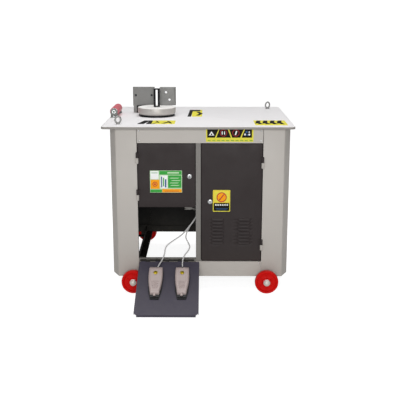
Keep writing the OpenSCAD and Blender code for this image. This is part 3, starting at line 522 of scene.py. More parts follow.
def turned_steel(name, colour, roughness=0.3, metallic=0.25, pitch_mm=3.2):
    """Lathe-faced steel: fine concentric rings round the bending head's axis. The cutter's feed of 0.3 mm is
    drawn at 3.2 mm, because it would not show."""
    material, shader, at = blank(name)
    centred = node(
        material, "Mapping", {"vector_type": "POINT"}, Vector=at, Location=(-HEAD_X * MM, -HEAD_Y * MM, 0.0)
    ).outputs[0]
    rings = node(
        material, "TexWave", {"wave_type": "RINGS", "rings_direction": "Z"}, Vector=centred,
        Scale=math.pi / 10 / (pitch_mm * MM), Distortion=0.4, Detail=1.0, _4=2.0
    )
    clouds = node(material, "TexNoise", Vector=at, Scale=per_metre(40), Detail=5.0, Roughness=0.65)
    mixed = node(
        material, "Mix", {"data_type": "FLOAT"}, _0=0.6, _2=rings.outputs["Fac"], _3=clouds.outputs["Fac"]
    )
    base = node(
        material, "Mix", {"data_type": "RGBA"}, _0=mixed.outputs[0],
        _6=shaded(colour, 0.88), _7=shaded(colour, 1.06)
    )
    link(material, base.outputs[2], shader.inputs["Base Color"])
    rough = node(
        material, "MapRange", Value=mixed.outputs[0], _1=0.2, _2=0.8, _3=roughness - 0.05, _4=roughness + 0.12
    )
    link(material, rough.outputs[0], shader.inputs["Roughness"])
    shader.inputs["Metallic"].default_value = metallic
    bump = node(material, "Bump", Height=rings.outputs["Fac"], Strength=0.35, Distance=0.00003)
    link(material, bump.outputs["Normal"], shader.inputs["Normal"])
    return material


def printed_vinyl(name, colour, roughness=0.6):
    """Screen-printed vinyl film: flat ink under a clear film, faintly blotched where it lies on the paint."""
    material, shader, at = blank(name)
    link(material, mottled(material, at, colour, 12, 0.96, 1.03), shader.inputs["Base Color"])
    shader.inputs["Roughness"].default_value = roughness
    shader.inputs["Specular IOR Level"].default_value = 0.08
    pitted(material, shader, at, 8.0, 0.02, 0.4)
    return material


FINISH = {}


def make_finishes(colours):
    """Every finish of the object, by a short name."""
    FINISH.update(
        panel=powder_coat("powder_coat_warm_grey", colours.panel, 0.45, 3.0, 0.25),
        # two-pack enamel, sprayed and flatted: smoother and glossier than the powder coat round it
        table=powder_coat("two_pack_enamel_off_white", colours.table, 0.34, 6.0, 0.0, 0.975, 1.02),
        # the plate's sawn edge and rounded rim, a darker grey than the cabinet's panels
        table_edge=powder_coat("table_rim_dark_grey", linear("#8f8b86"), 0.5, 4.0),
        # black stoving primer, dull and thin, on the frame and the sheets' inner faces; the same black is
        # also painted shade on the rail's hinge lugs, round the tray's hinge and in the blocks beside the
        # stop plate's foot
        primer=powder_coat("black_stoving_primer", linear("#171717"), 0.6, 2.0, 0.15, 0.85, 1.15, 0.2),
        # textured powder coat: the coarse peel gives the dark doors their dry look
        door=powder_coat("textured_powder_coat_charcoal", colours.door, 0.55, 1.6, 0.1, 0.93, 1.06, 0.25),
        frame=powder_coat("powder_coat_mid_grey", colours.frame, 0.48, 3.0, 0.35),
        tray=powder_coat("powder_coat_slate", colours.tray, 0.45, 2.5, 0.1, 0.9, 1.08, 0.3),
        pedal=cast_enamel("stove_enamel_on_die_casting", colours.pedal, 0.4, 2.2, 0.08),
        machine=cast_enamel("machinery_enamel_on_grey_iron", colours.machine, 0.4, 5.0, 0.3),
        # zinc plate, bright: pale blue-grey metal with a soft mirror
        zinc=bare_steel("bright_zinc_plate", linear("#c9cbcc"), 0.28, (1, 1, 1), 3.0, 0.01),
        # plate sawn from hot-rolled stock and ground: streaks lie across it
        plate=bare_steel(
            "ground_steel_plate", linear("#777775"), 0.5, (0.05, 1.0, 1.0), 2.0, 0.02, 0.86, 1.08, 0.35
        ),
        # zinc plate gone dull outdoors, pale and nearly without a mirror
        dull_zinc=bare_steel(
            "weathered_zinc_plate", linear("#cfc9bf"), 0.5, (1, 1, 1), 3.0, 0.01, 0.9, 1.05, 0.3
        ),
        forged=bare_steel(
            "forged_steel_galvanised", linear("#969694"), 0.5, (1, 1, 1), 4.0, 0.03, 0.85, 1.08, 0.4
        ),
        gear=bare_steel("hobbed_gear_steel", linear("#8f8f8c"), 0.34, (1.0, 1.0, 0.1), 1.0, 0.01),
        # the disc's top face is near white and not metallic: a painted highlight, the polished steel's
        # reflection of the top light; the rim below keeps the turned steel's own darker grey
        disc_face=turned_steel("lathe_faced_steel_painted_highlight", linear("#f4f1ee"), 0.45, 0.0),
        disc_rim=turned_steel("turned_steel_rim", linear("#b4b0ac"), 0.4, 0.25),
        # black oxide over turned steel: nearly black, with an oily sheen
        black_steel=bare_steel(
            "black_oxide_steel", linear("#2e2e31"), 0.38, (1, 1, 0.15), 1.5, 0.015, 0.75, 1.2
        ),
        wheel=moulded("cast_polyurethane_red", colours.wheel, 0.42, 2.0, 0.03, 0.12, 0.88, 1.06),
        roller=moulded("turned_polyurethane_sleeve", colours.roller, 0.42, 1.8, 0.04, 0.35, 0.85, 1.12),
        black_plastic=moulded("moulded_black_polyamide", linear("#232325"), 0.45),
        cream_plastic=moulded("moulded_cream_melamine", linear("#d0c9ae"), 0.4),
        duct=moulded("extruded_grey_pvc_duct", linear("#b9bcbb"), 0.45),
        # black rubber of the drive belts; the same black is painted shade in the apron's seams and behind the
        # door gaps
        belt=moulded("belt_rubber_and_painted_shade", linear("#1c1b1a"), 0.7, 1.0, 0.08),
        lead=moulded("pvc_lead_sheath", colours.lead, 0.42, 1.0, 0.02),
        yellow=printed_vinyl("vinyl_film_yellow", colours.yellow),
        black=printed_vinyl("vinyl_film_black", linear("#1d1c19")),
        white=printed_vinyl("vinyl_film_white", linear("#eef0ee")),
        red=printed_vinyl("vinyl_film_red", linear("#b3343c")),
        blue=printed_vinyl("vinyl_film_blue", linear("#3b5f8c")),
        green=printed_vinyl("vinyl_film_green", colours.green),
        pale_green=printed_vinyl("vinyl_film_pale_green", linear("#b9d9b0")),
        orange=printed_vinyl("vinyl_film_orange", colours.orange),
        # stamped brass badge, lacquered
        badge=bare_steel("stamped_brass_badge", linear("#c8b030"), 0.36, (1, 1, 1), 2.0, 0.02),
    )


# ---------- the stage ----------

class BENDER_OT_stage(bpy.types.Operator):
    """Camera, white floor and soft studio lights"""

    bl_idname = "bender.stage"
    bl_label = "Stage"

    def execute(self, context):
        scene = context.scene
        data = bpy.data.cameras.new("camera")
        data.lens, data.sensor_width, data.clip_end = 65.3, 36.0, 50.0
        camera = bpy.data.objects.new("camera", data)
        camera.location = (0.0373, -3.9844, 1.4135)
        camera.rotation_euler = (math.radians(90 - 13.82), 0.0, math.radians(0.42))
        scene.collection.objects.link(camera)
        scene.camera = camera
        rise = np.radians(np.linspace(0, 80, 12))
        bend = np.stack([8000 + 900 * np.sin(rise), 900 * (1 - np.cos(rise))], 1)
        profile = np.vstack([[(0, 0), (1500, 0), (4000, 0)], bend, [(9050, 3000)]])
        floor = piece(
            "floor", None, [lathe(profile, (0, 0, 0), "z", 96)], [self.floor_finish()],
            facing=(0, 0, 1), crease=60
        )
        lights = {
            # name: position, point it faces, side in metres, watts
            "key": ((0.0, -4.8, 1.8), (0.0, 0.0, 0.45), 2.4, 128.0),
            "top": ((0.0, 0.3, 5.0), (0.0, 0.301, 0.0), 4.0, 172.0),
        }
        for name, (position, target, size, watts) in lights.items():
            area = bpy.data.lights.new(name, "AREA")
            area.shape, area.size, area.energy = "SQUARE", size, watts
            lamp = bpy.data.objects.new(name, area)
            lamp.location = position
            aim = np.array(target) - np.array(position)
            lamp.rotation_euler = (math.acos(-aim[2] / np.linalg.norm(aim)), 0.0, math.atan2(-aim[0], aim[1]))
            scene.collection.objects.link(lamp)
        world = bpy.data.worlds.new("studio")
        scene.world = world
        world.use_nodes = True
        world.node_tree.nodes["Background"].inputs["Color"].default_value = (1.0, 1.0, 1.0, 1.0)
        world.node_tree.nodes["Background"].inputs["Strength"].default_value = 0.2
        scene.view_settings.view_transform = "Standard"
        return {"FINISHED"}

    def floor_finish(self):
        """White painted studio floor that rises into a wall lit from behind."""
        material, shader, at = blank("white_studio_floor")
        shader.inputs["Base Color"].default_value = linear("#a0a0a0")
        shader.inputs["Roughness"].default_value = 0.9
        shader.inputs["Emission Color"].default_value = (1.0, 1.0, 1.0, 1.0)
        height = node(material, "SeparateXYZ", Vector=at).outputs["Z"]
        lit = node(
            material, "MapRange", {"interpolation_type": "SMOOTHSTEP"},
            Value=height, _1=0.0, _2=0.5, _3=0.9, _4=1.0
        )
        # the wall looks white, and throws less light than it shows, so that the front lights shape the object
        path = node(material, "LightPath")
        seen = node(
            material, "MapRange", Value=path.outputs["Is Camera Ray"], _1=0.0, _2=1.0, _3=THROWN_SHARE, _4=1.0
        )
        strength = node(material, "Math", {"operation": "MULTIPLY"}, _0=lit.outputs[0], _1=seen.outputs[0])
        link(material, strength.outputs[0], shader.inputs["Emission Strength"])
        return material


# ---------- leads ----------

LEAD_DIAMETER = 7.0
# x, depth behind the table's front edge, and height of each point of the two leads
LEAD_ROUTES = {
    "left": [
        (-4, 90, 442), (-6, 91, 415), (-16, 93, 382), (-44, 96, 342), (-86, 98, 292), (-128, 92, 262),
        (-158, 78, 244), (-175, 58, 228), (-181, 34, 200), (-188, 8, 184), (-200, -16, 168),
        (-211, -42, 154), (-218, -61.5, 145.4)
    ],
    "right": [
        (-4, 130, 442), (-6, 129, 415), (-14, 126, 380), (-38, 118, 345), (-60, 104, 305),
        (-67, 92, 275), (-55, 82, 250), (-46, 68, 230), (-56, 50, 210), (-70, 30, 198), (-80, 4, 184),
        (-83, -19, 166.5), (-82, -42, 154), (-81, -61.5, 145.4)
    ],
}


def smooth_route(points, steps):
    """Catmull-Rom curve through the points: (2b + (c-a)t + (2a-5b+4c-d)t^2 + (3b-a-3c+d)t^3) / 2 between b
    and c."""
    p = np.asarray(points, float)
    p = np.vstack([2 * p[0] - p[1], p, 2 * p[-1] - p[-2]])
    a, b, c, d = (p[i:len(p) - 3 + i][:, None] for i in range(4))
    t = (np.arange(steps) / steps)[None, :, None]
    bends = (2 * a - 5 * b + 4 * c - d) * t ** 2 + (3 * b - a - 3 * c + d) * t ** 3
    curve = 0.5 * (2 * b + (c - a) * t + bends)
    return np.vstack([curve.reshape(-1, 3), p[-2]])


class BENDER_OT_leads(bpy.types.Operator):
    """The two foot switch leads, from the glands under the electrical box to the foot switches"""

    bl_idname = "bender.leads"
    bl_label = "Foot switch leads"

    def execute(self, context):
        for side, route in LEAD_ROUTES.items():
            points = np.array([(x, deep(y), z) for x, y, z in route])
            path = smooth_route(points, 6)
            lead = piece(
                side + "_lead", None, [tube(path, LEAD_DIAMETER / 2, 14)], [FINISH["lead"]],
                replaces=[side + "_pedal_lead"]
            )
            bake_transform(lead)
        return {"FINISHED"}


# ---------- cabinet ----------

def side_panel_outline(side):
    """Plan of one folded side panel, from one lip of the opening round its two long chamfers to the other,
    and back along the sheet's inner face 3 mm in."""
    edge = OPEN_X0 if side < 0 else OPEN_X1
    wall = CAB_X + side * 474
    flat = CAB_X + side * 439
    radius = bpy.context.scene.bender_sizes.bend_radius / MM
    outer = np.array([
        (edge, CAB_FRONT + 15), (edge, CAB_FRONT), (flat, CAB_FRONT), (wall, CAB_FRONT + 70),
        (wall, CAB_BACK - 70), (flat, CAB_BACK), (edge, CAB_BACK)
    ])
    inner = np.array([
        (edge + side * 3, CAB_FRONT + 15), (edge + side * 3, CAB_FRONT + 3),
        (flat - side * 1.9, CAB_FRONT + 3), (wall - side * 3, CAB_FRONT + 71.4),
        (wall - side * 3, CAB_BACK - 71.4), (flat - side * 1.9, CAB_BACK - 3), (edge, CAB_BACK - 3)
    ])
    return np.vstack([
        filleted(outer, [0, radius / 2] + [radius] * 4 + [0], closed=False),
        filleted(inner, [0, 1.0] + [radius - 3] * 4 + [0], closed=False)[::-1]
    ])


def pop_rivet(x, z, y=CAB_FRONT):
    """Domed head of a blind rivet with its pin's dimple: at radius r it stands h out of the sheet."""
    r = np.array([0, 0.9, 1.1, 1.6, 2.6, 3.5, 4.0, 4.0])
    h = np.array([0.7, 0.7, 1.3, 1.3, 1.0, 0.6, 0.2, -0.3])
    return lathe(np.stack([r, -h], 1), (x, y, z), "y", 16)


class BENDER_OT_cabinet(bpy.types.Operator):
    """Folded side panels, apron, post, kick panel, sill rail, rear panel and inner frame"""

    bl_idname = "bender.cabinet"
    bl_label = "Cabinet"

    def execute(self, context):
        sizes = context.scene.bender_sizes
        rim = sizes.sheet_rim / MM
        for side, name in ((-1, "left"), (1, "right")):
            panel = piece(
                name + "_side_panel_folded", "cabinet",
                [slab(side_panel_outline(side), SKIRT_Z, UNDER_TABLE, rim)], [FINISH["panel"]],
                replaces=[name + "_side_panel"]
            )
            second_finish(panel.data, FINISH["primer"], faces_inward)
        for node_name, slot, finish in (
            ("apron", "panel_grey", "panel"), ("kick_panel", "panel_grey", "panel"),
            ("centre_post", "frame_grey", "frame"), ("base_frame", "frame_grey", "primer")
        ):
            eased(node_name, FINISH[finish], 0.7)
        # the sheets are black inside; the rail's hinge lugs are black as painted shade, the shadow line
        # between the rail and the tray
        eased(
            "back_panel", FINISH["panel"], 0.7, FINISH["primer"],
            lambda centres, normals: normals[:, 1] < -0.5
        )
        eased(
            "lower_rail", FINISH["frame"], 0.7, FINISH["primer"],
            lambda centres, normals: (centres[:, 1] < CAB_FRONT - 1) & (normals[:, 2] < 0.5)
        )
        # thin black strips in the seams between the side panels and the apron: painted shade of the seam gaps
        seams = [
            slab(rectangle(x - 1.1, x + 1.1, CAB_FRONT - 0.6, CAB_FRONT + 2), 803, UNDER_TABLE, 0.2)
            for x in (OPEN_X0, OPEN_X1)
        ]
        piece("apron_seam_shadow_lines", "cabinet", seams, [FINISH["belt"]])
        # rubber lips behind the door's gap at the post, notched where the lock's cam passes; their black is
        # also painted shade in the gaps, where the white floor would show through
        low = DOORS["right"]["z"][0]
        back = CAB_FRONT + 21.5
        lips = [
            slab(rectangle(x0, x1, CAB_FRONT + y, back), z0, z1, 0.4)
            for x0, x1, y, z0, z1 in (
                (10, 22, 19, low, DOOR_TOP), (6, 13.5, 14, low, 468), (6, 13.5, 14, 514, DOOR_TOP),
                (330, 338, 19, low, DOOR_TOP)
            )
        ]
        piece("door_seal_lips_and_gap_shade", "cabinet", lips, [FINISH["belt"]])
        rivets = [pop_rivet(x, z) for x in (OPEN_X0 + 12, OPEN_X1 - 12) for z in (815, 866)]
        rivets += [pop_rivet(x, z) for x in (0, 326) for z in (88, 148)]
        piece("panel_rivets", "cabinet", rivets, [FINISH["zinc"]])
        return {"FINISHED"}


class BENDER_OT_table(bpy.types.Operator):
    """Table plate with a rounded rim, its screws and its lifting eyes"""

    bl_idname = "bender.table"
    bl_label = "Table"

    def execute(self, context):
        edge = context.scene.bender_sizes.table_edge / MM
        outline = rectangle(-500, 500, deep(0), deep(920), 26)
        vertices, faces = slab(outline, UNDER_TABLE, TABLE_Z, edge)
        piece(
            "table_plate", "cabinet", [(vertices, faces[-1:]), (vertices, faces[:-1], 1)],
            [FINISH["table"], FINISH["table_edge"]], replaces=["table_top"]
        )
        eyes = []
        for x, y in ((-421, deep(110)), (421, deep(810))):
            t = np.linspace(0, 2 * math.pi, 48, endpoint=False)
            turn = math.radians(40)
            across = np.cos(t) * 17.5
            ring = np.stack([
                x + across * math.cos(turn), y + across * math.sin(turn), 913 + 17.5 * np.sin(t)
            ], 1)
            thick = 4.7 + 0.5 * np.exp(-((t - 1.5 * math.pi) / 0.5) ** 2)
            eyes.append(tube(ring, thick, 16, (-math.sin(turn), math.cos(turn), 0.0), closed=True))
            collar = [(0, 0), (11, 0), (11, 3.4), (10.2, 4.6), (8, 5.4), (6, 6.4), (5, 8.5), (0, 8.5)]
            eyes.append(lathe(collar, (x, y, TABLE_Z), "z", 32))
        piece(
            "forged_lifting_eyes", "cabinet", eyes, [FINISH["forged"]],
            replaces=["lifting_eyes"]
        )
        eased("table_screws", FINISH["zinc"], 0.6)
        return {"FINISHED"}


# ---------- doors ----------

DOORS = {
    # name: left and right edge, lower and upper edge, hinge axis, hinge heights, lock place, cam reach
    "left": dict(
        x=(-315.5, -14.5), z=(460, DOOR_TOP), axis=-317.0, hinges=(725, 528), lock=(-45, 627), reach=38
    ),
    "right": dict(
        x=(16.5, 335.5), z=(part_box("right_door")[0].z / MM, DOOR_TOP), axis=337.0, hinges=(700, 255),
        lock=(63, 491), reach=54
    ),
}
DOOR_FOLD = 14.0
LOUVRE_X = (103, 244)
LOUVRE_Z = [262 + 18.6 * k for k in range(8)]


def folded_edge(low, high, radius, lines):
    """One direction of a door's face, as places along it and depths behind it: straight between the bends,
    then a quarter turn low + r - r sin a, r - r cos a at each end, then straight back to the fold's depth."""
    a = np.linspace(0, math.pi / 2, 5)
    bend_along, bend_back = radius - radius * np.sin(a), radius - radius * np.cos(a)
    start = np.concatenate([[low], low + bend_along[::-1]])
    start_back = np.concatenate([[DOOR_FOLD], bend_back[::-1]])
    inner = np.array(sorted(v for v in lines if low + radius < v < high - radius))
    along = np.concatenate([start, inner, (high + low) - start[::-1]])
    back = np.concatenate([start_back, np.zeros(len(inner)), start_back[::-1]])
    return along, back


def door_face(x, z, slots):
    """The door's pressed sheet on a grid: each point lies at its place across and up, and as far back as the
    greater of its two edges' bends. The grid's cells inside a slot are left out."""
    radius = 3.0
    across = {v for s in slots for v in s[:2]} | set(np.linspace(x[0], x[1], 9)[1:-1])
    up = {v for s in slots for v in s[2:]} | set(np.linspace(z[0], z[1], 9)[1:-1])
    xs, back_x = folded_edge(*x, radius, across)
    zs, back_z = folded_edge(*z, radius, up)
    gx, gz = np.meshgrid(xs, zs, indexing="ij")
    depth = np.maximum(back_x[:, None], back_z[None, :])
    vertices, faces = grid(np.stack([gx, CAB_FRONT + depth, gz], -1))
    middle = vertices[np.array(faces)].mean(1)
    keep = np.ones(len(faces), bool)
    for x0, x1, z0, z1 in slots:
        keep &= ~((middle[:, 0] > x0) & (middle[:, 0] < x1) & (middle[:, 2] > z0) & (middle[:, 2] < z1))
    return vertices, [f for f, k in zip(faces, keep) if k]


def louvre_hood(x, z, rise):
    """Pressed hood over a slot. For u across and v up, both 0 to 1, it stands
    rise (1 - |2u-1|^5)^0.6 (1 - v^2) out of the face, so that it is open below and runs into the sheet at its
    top and ends."""
    u, v = np.meshgrid(np.linspace(0, 1, 25), np.linspace(0, 1, 9), indexing="ij")
    out = rise * (1 - np.abs(2 * u - 1) ** 5) ** 0.6 * (1 - v ** 2)
    shell = np.stack([
        x - 34 + 68 * u, CAB_FRONT - out - 0.05, z - 1 + 12 * v - 0.5 * (out / rise) * (1 - v)
    ], -1)
    inner = shell + np.array([0, 1.4, 0])
    closed = np.concatenate([shell, inner[:, ::-1]], 1)
    return grid(closed, wrap_v=True)


def hinge_half(x, low, high, side, crown):
    """Half of a weld-on hinge: a chamfered barrel with a domed end at the crown, and the leaf that is welded
    on."""
    top = [(7, high - 1), (6.2, high), (4, high + 0.01), (0, high + 0.01)]
    if crown > 0:
        top = [(7, high - 1.2), (6.4, high), (5.2, high + 1.4), (3.0, high + 2.4), (0, high + 2.8)]
    bottom = [(0, low - 0.01), (4, low - 0.01), (6.2, low), (7, low + 1)]
    if crown < 0:
        bottom = [(0, low - 2.8), (3.0, low - 2.4), (5.2, low - 1.4), (6.4, low), (7, low + 1.2)]
    y = CAB_FRONT - HINGE_OUT
    leaf = rectangle(*sorted((x, x + side * 12)), y + 2, CAB_FRONT + 0.5)
    return [lathe(bottom + top, (x, y, 0), "z", 28), slab(leaf, low + 3, high - 3, 0.5)]


class BENDER_OT_doors(bpy.types.Operator):
    """Both pressed doors with their louvres, hinge halves and quarter-turn locks"""

    bl_idname = "bender.doors"
    bl_label = "Doors"

    def execute(self, context):
        rise = context.scene.bender_sizes.louvre_rise / MM
        cabinet_halves = []
        for name, door in DOORS.items():
            toward = 1 if name == "left" else -1
            slots = []
            if name == "right":
                slots = [(x - 31, x + 31, z - 2, z + 3) for x in LOUVRE_X for z in LOUVRE_Z]
            piece(
                name + "_door_pressing", name + "_door",
                [door_face(door["x"], door["z"], slots)], [FINISH["door"]], replaces=[name + "_door"],
                thickness=2.0, facing=(0, -1, 0)
            )
            barrels = []
            for z in door["hinges"]:
                barrels += hinge_half(door["axis"], z + 0.4, z + 28.4, toward, 1)
                cabinet_halves += hinge_half(door["axis"], z - 28, z, -toward, -1)
            piece(name + "_door_hinges", name + "_door", barrels, [FINISH["door"]])
            self.lock(name, door)
        piece(
            "right_door_louvres", "right_door",
            [louvre_hood(x, z, rise) for x in LOUVRE_X for z in LOUVRE_Z], [FINISH["door"]]
        )
        pins = [
            lathe(
                [(0, z - 1), (4, z - 1), (4, z + 22), (3, z + 23), (0, z + 23)],
                (door["axis"], CAB_FRONT - HINGE_OUT, 0), "z", 20
            )
            for door in DOORS.values() for z in door["hinges"]
        ]
        piece(
            "cabinet_hinge_halves", "cabinet", cabinet_halves + pins, [FINISH["panel"]],
            replaces=["door_hinge_pins"]
        )
        return {"FINISHED"}

    def lock(self, name, door):
        """Chromed head with a keyway in a sunk well, the barrel behind it, its nut and the hanging cam."""
        x, z = door["lock"]
        head = [
            (0, -2.2), (7.4, -2.2), (7.7, -3.9), (8.4, -4.8), (10.8, -4.7), (12.4, -3.6), (13, -2.2),
            (13, -0.4), (11, -0.3), (11, 15), (0, 15)
        ]
        nut = slab(circle(x, z, 15.5, 6), CAB_FRONT + 2.6, CAB_FRONT + 8, 0.6, "xzy")
        low = z - door["reach"]
        cam_top = [(x + 9, z + 4), (x + 5, z + 9), (x - 5, z + 9), (x - 9, z + 4)]
        cam_low = [(x - 9, low + 3), (x - 6, low), (x + 6, low), (x + 9, low + 3)]
        cam = slab(cam_top + cam_low, CAB_FRONT + 15, CAB_FRONT + 18, 0.4, "xzy")
        keyway = slab(
            rectangle(x - 1.6, x + 1.6, z - 6, z + 6, 1.2), CAB_FRONT - 2.9, CAB_FRONT - 1.0, 0.1, "xzy"
        )
        core = slab(circle(x, z, 4.2, 24), CAB_FRONT - 2.6, CAB_FRONT - 1.0, 0.3, "xzy")
        piece(
            name + "_quarter_turn_lock", name + "_lock",
            [lathe(head, (x, CAB_FRONT, z), "y", 40), nut, cam, core, (*keyway, 1)],
            [FINISH["zinc"], FINISH["black_steel"]], replaces=[name + "_door_lock"]
        )


# ---------- bending head ----------

class BENDER_OT_head(bpy.types.Operator):
    """Bending disc, its seat ring, the slotted mandrel and both plates"""

    bl_idname = "bender.head"
    bl_label = "Bending head"

    def execute(self, context):
        sizes = context.scene.bender_sizes
        r, round_r = 108.0, sizes.disc_round / MM
        a = np.radians(np.linspace(-90, 0, 11))
        lower = np.stack([r - round_r + round_r * np.cos(a), round_r + round_r * np.sin(a)], 1)
        top = [
            (r, 38.2), (r - 0.6, 39.8), (r - 2.2, 41), (98.5, 41), (98, 40.4), (95, 40.4), (94.5, 41),
            (46, 41), (45.5, 40.5), (43.5, 40.5), (43, 41), (0, 41)
        ]
        disc = lathe(np.vstack([[(0, 0)], lower, top]), (HEAD_X, HEAD_Y, TABLE_Z + 9), "z", 128)
        on_top = (disc[0][np.array(disc[1]), 2] > TABLE_Z + 48.5).all(1)
        face = [corners for corners, top_face in zip(disc[1], on_top) if top_face]
        rim = [corners for corners, top_face in zip(disc[1], on_top) if not top_face]
        # the top face takes the near-white steel with the painted highlight, the rest takes the rim's steel
        piece(
            "turned_bending_disc", "disc", [(disc[0], face), (disc[0], rim, 1)],
            [FINISH["disc_face"], FINISH["disc_rim"]], replaces=["bending_disc"]
        )
        seat = [(45, 0.1), (103, 0.1), (103, 6.8), (101.5, 8), (46, 8), (45, 7)]
        piece(
            "black_seat_ring", "cabinet",
            [lathe(seat, (HEAD_X, HEAD_Y, TABLE_Z), "z", 96, loop=True)], [FINISH["black_steel"]],
            replaces=["disc_seat_ring"]
        )
        eased("mandrel", FINISH["black_steel"], 0.8)
        edge = sizes.plate_edge / MM
        eased("bend_plate", FINISH["plate"], edge)
        eased("stop_plate", FINISH["plate"], edge)
        # black socket set screws fill the stop plate's two holes
        screw = [(0, 4.0), (2.8, 4.0), (3.2, 0.8), (5.9, 0.3), (6.45, 1.0), (6.45, 11.6), (0, 11.6)]
        screws = [
            lathe([(r, deep(600) + h) for r, h in screw], (x, 0, 993), "y", 28) for x in (-371, -278)
        ]
        # black blocks as painted shade: the shadow gap beside the foot's inner edge and the shadow along the
        # plate's lower edge
        post = slab(rectangle(-366, -351, deep(596.5), deep(606)), TABLE_Z, 934, 0.6)
        strip = slab(rectangle(-351, -312, deep(596.5), deep(600)), 929, 936, 0.6)
        piece("stop_plate_screws", "cabinet", screws, [FINISH["black_steel"]])
        piece("stop_plate_shadow_blocks", "cabinet", [post, strip], [FINISH["primer"]])
        plug = [(0, 0.9), (2.6, 0.9), (2.8, 0.1), (6.0, 0.0), (6.45, 0.7), (6.45, 10.5), (0, 10.5)]
        filled = lathe([(r, deep(546.5) + h) for r, h in plug], (-207, 0, 973), "y", 28)
        piece("bend_plate_plug", "disc", [filled], [FINISH["plate"]])
        paint(FINISH["zinc"], "bend_plate_pins", "main_shaft")
        return {"FINISHED"}


class BENDER_OT_roller(bpy.types.Operator):
    """Support roller: polyurethane sleeve on a steel core, with its brackets and axle"""

    bl_idname = "bender.roller"
    bl_label = "Support roller"

    def execute(self, context):
        y0, y1 = deep(396), deep(596)
        sleeve = [
            (20.5, y0 + 1), (22, y0), (23.2, y0 + 1), (24, y0 + 4), (24, y1 - 4), (23.2, y1 - 1), (22, y1),
            (20.5, y1 - 1)
        ]
        core = [(6.1, y0 + 0.6), (20.4, y0 + 0.6), (20.4, y1 - 0.6), (6.1, y1 - 0.6)]
        # two shallow grooves worn by the bar
        t = np.linspace(0.08, 0.92, 43)
        worn = 24 - 0.5 * np.exp(-(((t - 0.3) / 0.02) ** 2)) - 0.6 * np.exp(-(((t - 0.52) / 0.025) ** 2))
        sleeve[4:4] = list(zip(worn, y0 + (y1 - y0) * t))
        at = (-476.0, 0.0, TABLE_Z + 31)
        piece(
            "roller_sleeve", "support_roller",
            [lathe(sleeve, at, "y", 48, loop=True), (*lathe(core, at, "y", 48, loop=True), 1)],
            [FINISH["roller"], FINISH["zinc"]], replaces=["support_roller"]
        )
        cap = [(0, y0 - 13.5), (4.5, y0 - 13.4), (5.5, y0 - 12.8), (5.6, y0 - 11.8), (0, y0 - 11.8)]
        piece("axle_end_plug", "cabinet", [lathe(cap, at, "y", 24)], [FINISH["machine"]])
        eased("roller_brackets", FINISH["plate"], 0.6)
        eased("roller_axle", FINISH["zinc"], 0.6)
        return {"FINISHED"}


# ---------- wheels ----------

WHEELS = {
    "front_left": (-346.0, -20.0, -1), "front_right": (366.0, -20.0, -1),
    "rear_left": (-346.0, 940.0, 1), "rear_right": (366.0, 940.0, 1),
}


def wheel_body(crown):
    """The wheel's closed section, out over its hub, dished web and rim, over its crowned tread and back: the
    tread's radius is 63 - crown (h/14)^2 at h from its middle."""
    h = np.linspace(-14, 14, 9)
    tread = np.stack([63 - crown * (h / 14) ** 2, h], 1)
    near = [(18, -19), (20.5, -19), (21.8, -17.8), (22, -10), (24, -7.6), (28, -6.6), (44, -6.6), (48, -7.4),
            (51, -11), (52, -15), (53.5, -16), (58, -16), (60.5, -15.6)]
    far = [(r, -z) for r, z in near[::-1]]
    return near + tread.tolist() + far


def web_ribs(count, at):
    """Ribs cast on both faces of the web: each a slab that tapers in plan from 4.8 to 3.2 mm."""
    shapes = []
    for side in (-1, 1):
        for k in range(count):
            turn = 2 * math.pi * (k + 0.5) / count
            plan = np.array([(21, -2.4), (50.5, -1.6), (50.5, 1.6), (21, 2.4)])
            c, s = math.cos(turn), math.sin(turn)
            turned = np.stack([
                plan[:, 0] * c - plan[:, 1] * s + at[0], plan[:, 0] * s + plan[:, 1] * c + at[2]
            ], 1)
            low, high = sorted((side * 5.5, side * 10.5))
            shapes.append(slab(turned, at[1] + low, at[1] + high, 0.8, "xzy"))
    return shapes


class BENDER_OT_wheels(bpy.types.Operator):
    """Four cast polyurethane wheels on steel hubs, with their axles"""

    bl_idname = "bender.wheels"
    bl_label = "Wheels"

    def execute(self, context):
        crown = context.scene.bender_sizes.wheel_crown / MM
        for name, (x, depth, outward) in WHEELS.items():
            at = (x, deep(depth), AXLE_Z)
            hub = [(10.1, -20), (14.5, -20), (17.9, -19.2), (17.9, 19.2), (14.5, 20), (10.1, 20)]
            body = lathe(wheel_body(crown), at, "y", 72, loop=True)
            piece(
                name + "_wheel_casting", name + "_wheel",
                [body, *web_ribs(6, at), (*lathe(hub, at, "y", 40, loop=True), 1)],
                [FINISH["wheel"], FINISH["zinc"]], replaces=[name + "_wheel"]
            )
            cap = [(0, 6.5), (4, 6.5), (8, 5.6), (12, 3.4), (14.2, 1.2), (14.6, 0), (0, 0)]
            # the front axles' ends stand 2 mm further out of their hubs than the rear ones'
            face = deep(depth) + (25.5 if outward > 0 else -27.5)
            cap = lathe([(r, face + outward * h) for r, h in cap], (x, 0, AXLE_Z), "y", 40)
            piece(name + "_axle_cap", "cabinet", [cap], [FINISH["dull_zinc"]])
        eased("wheel_axles", FINISH["dull_zinc"], 0.8)
        return {"FINISHED"}


# ---------- pedal tray ----------

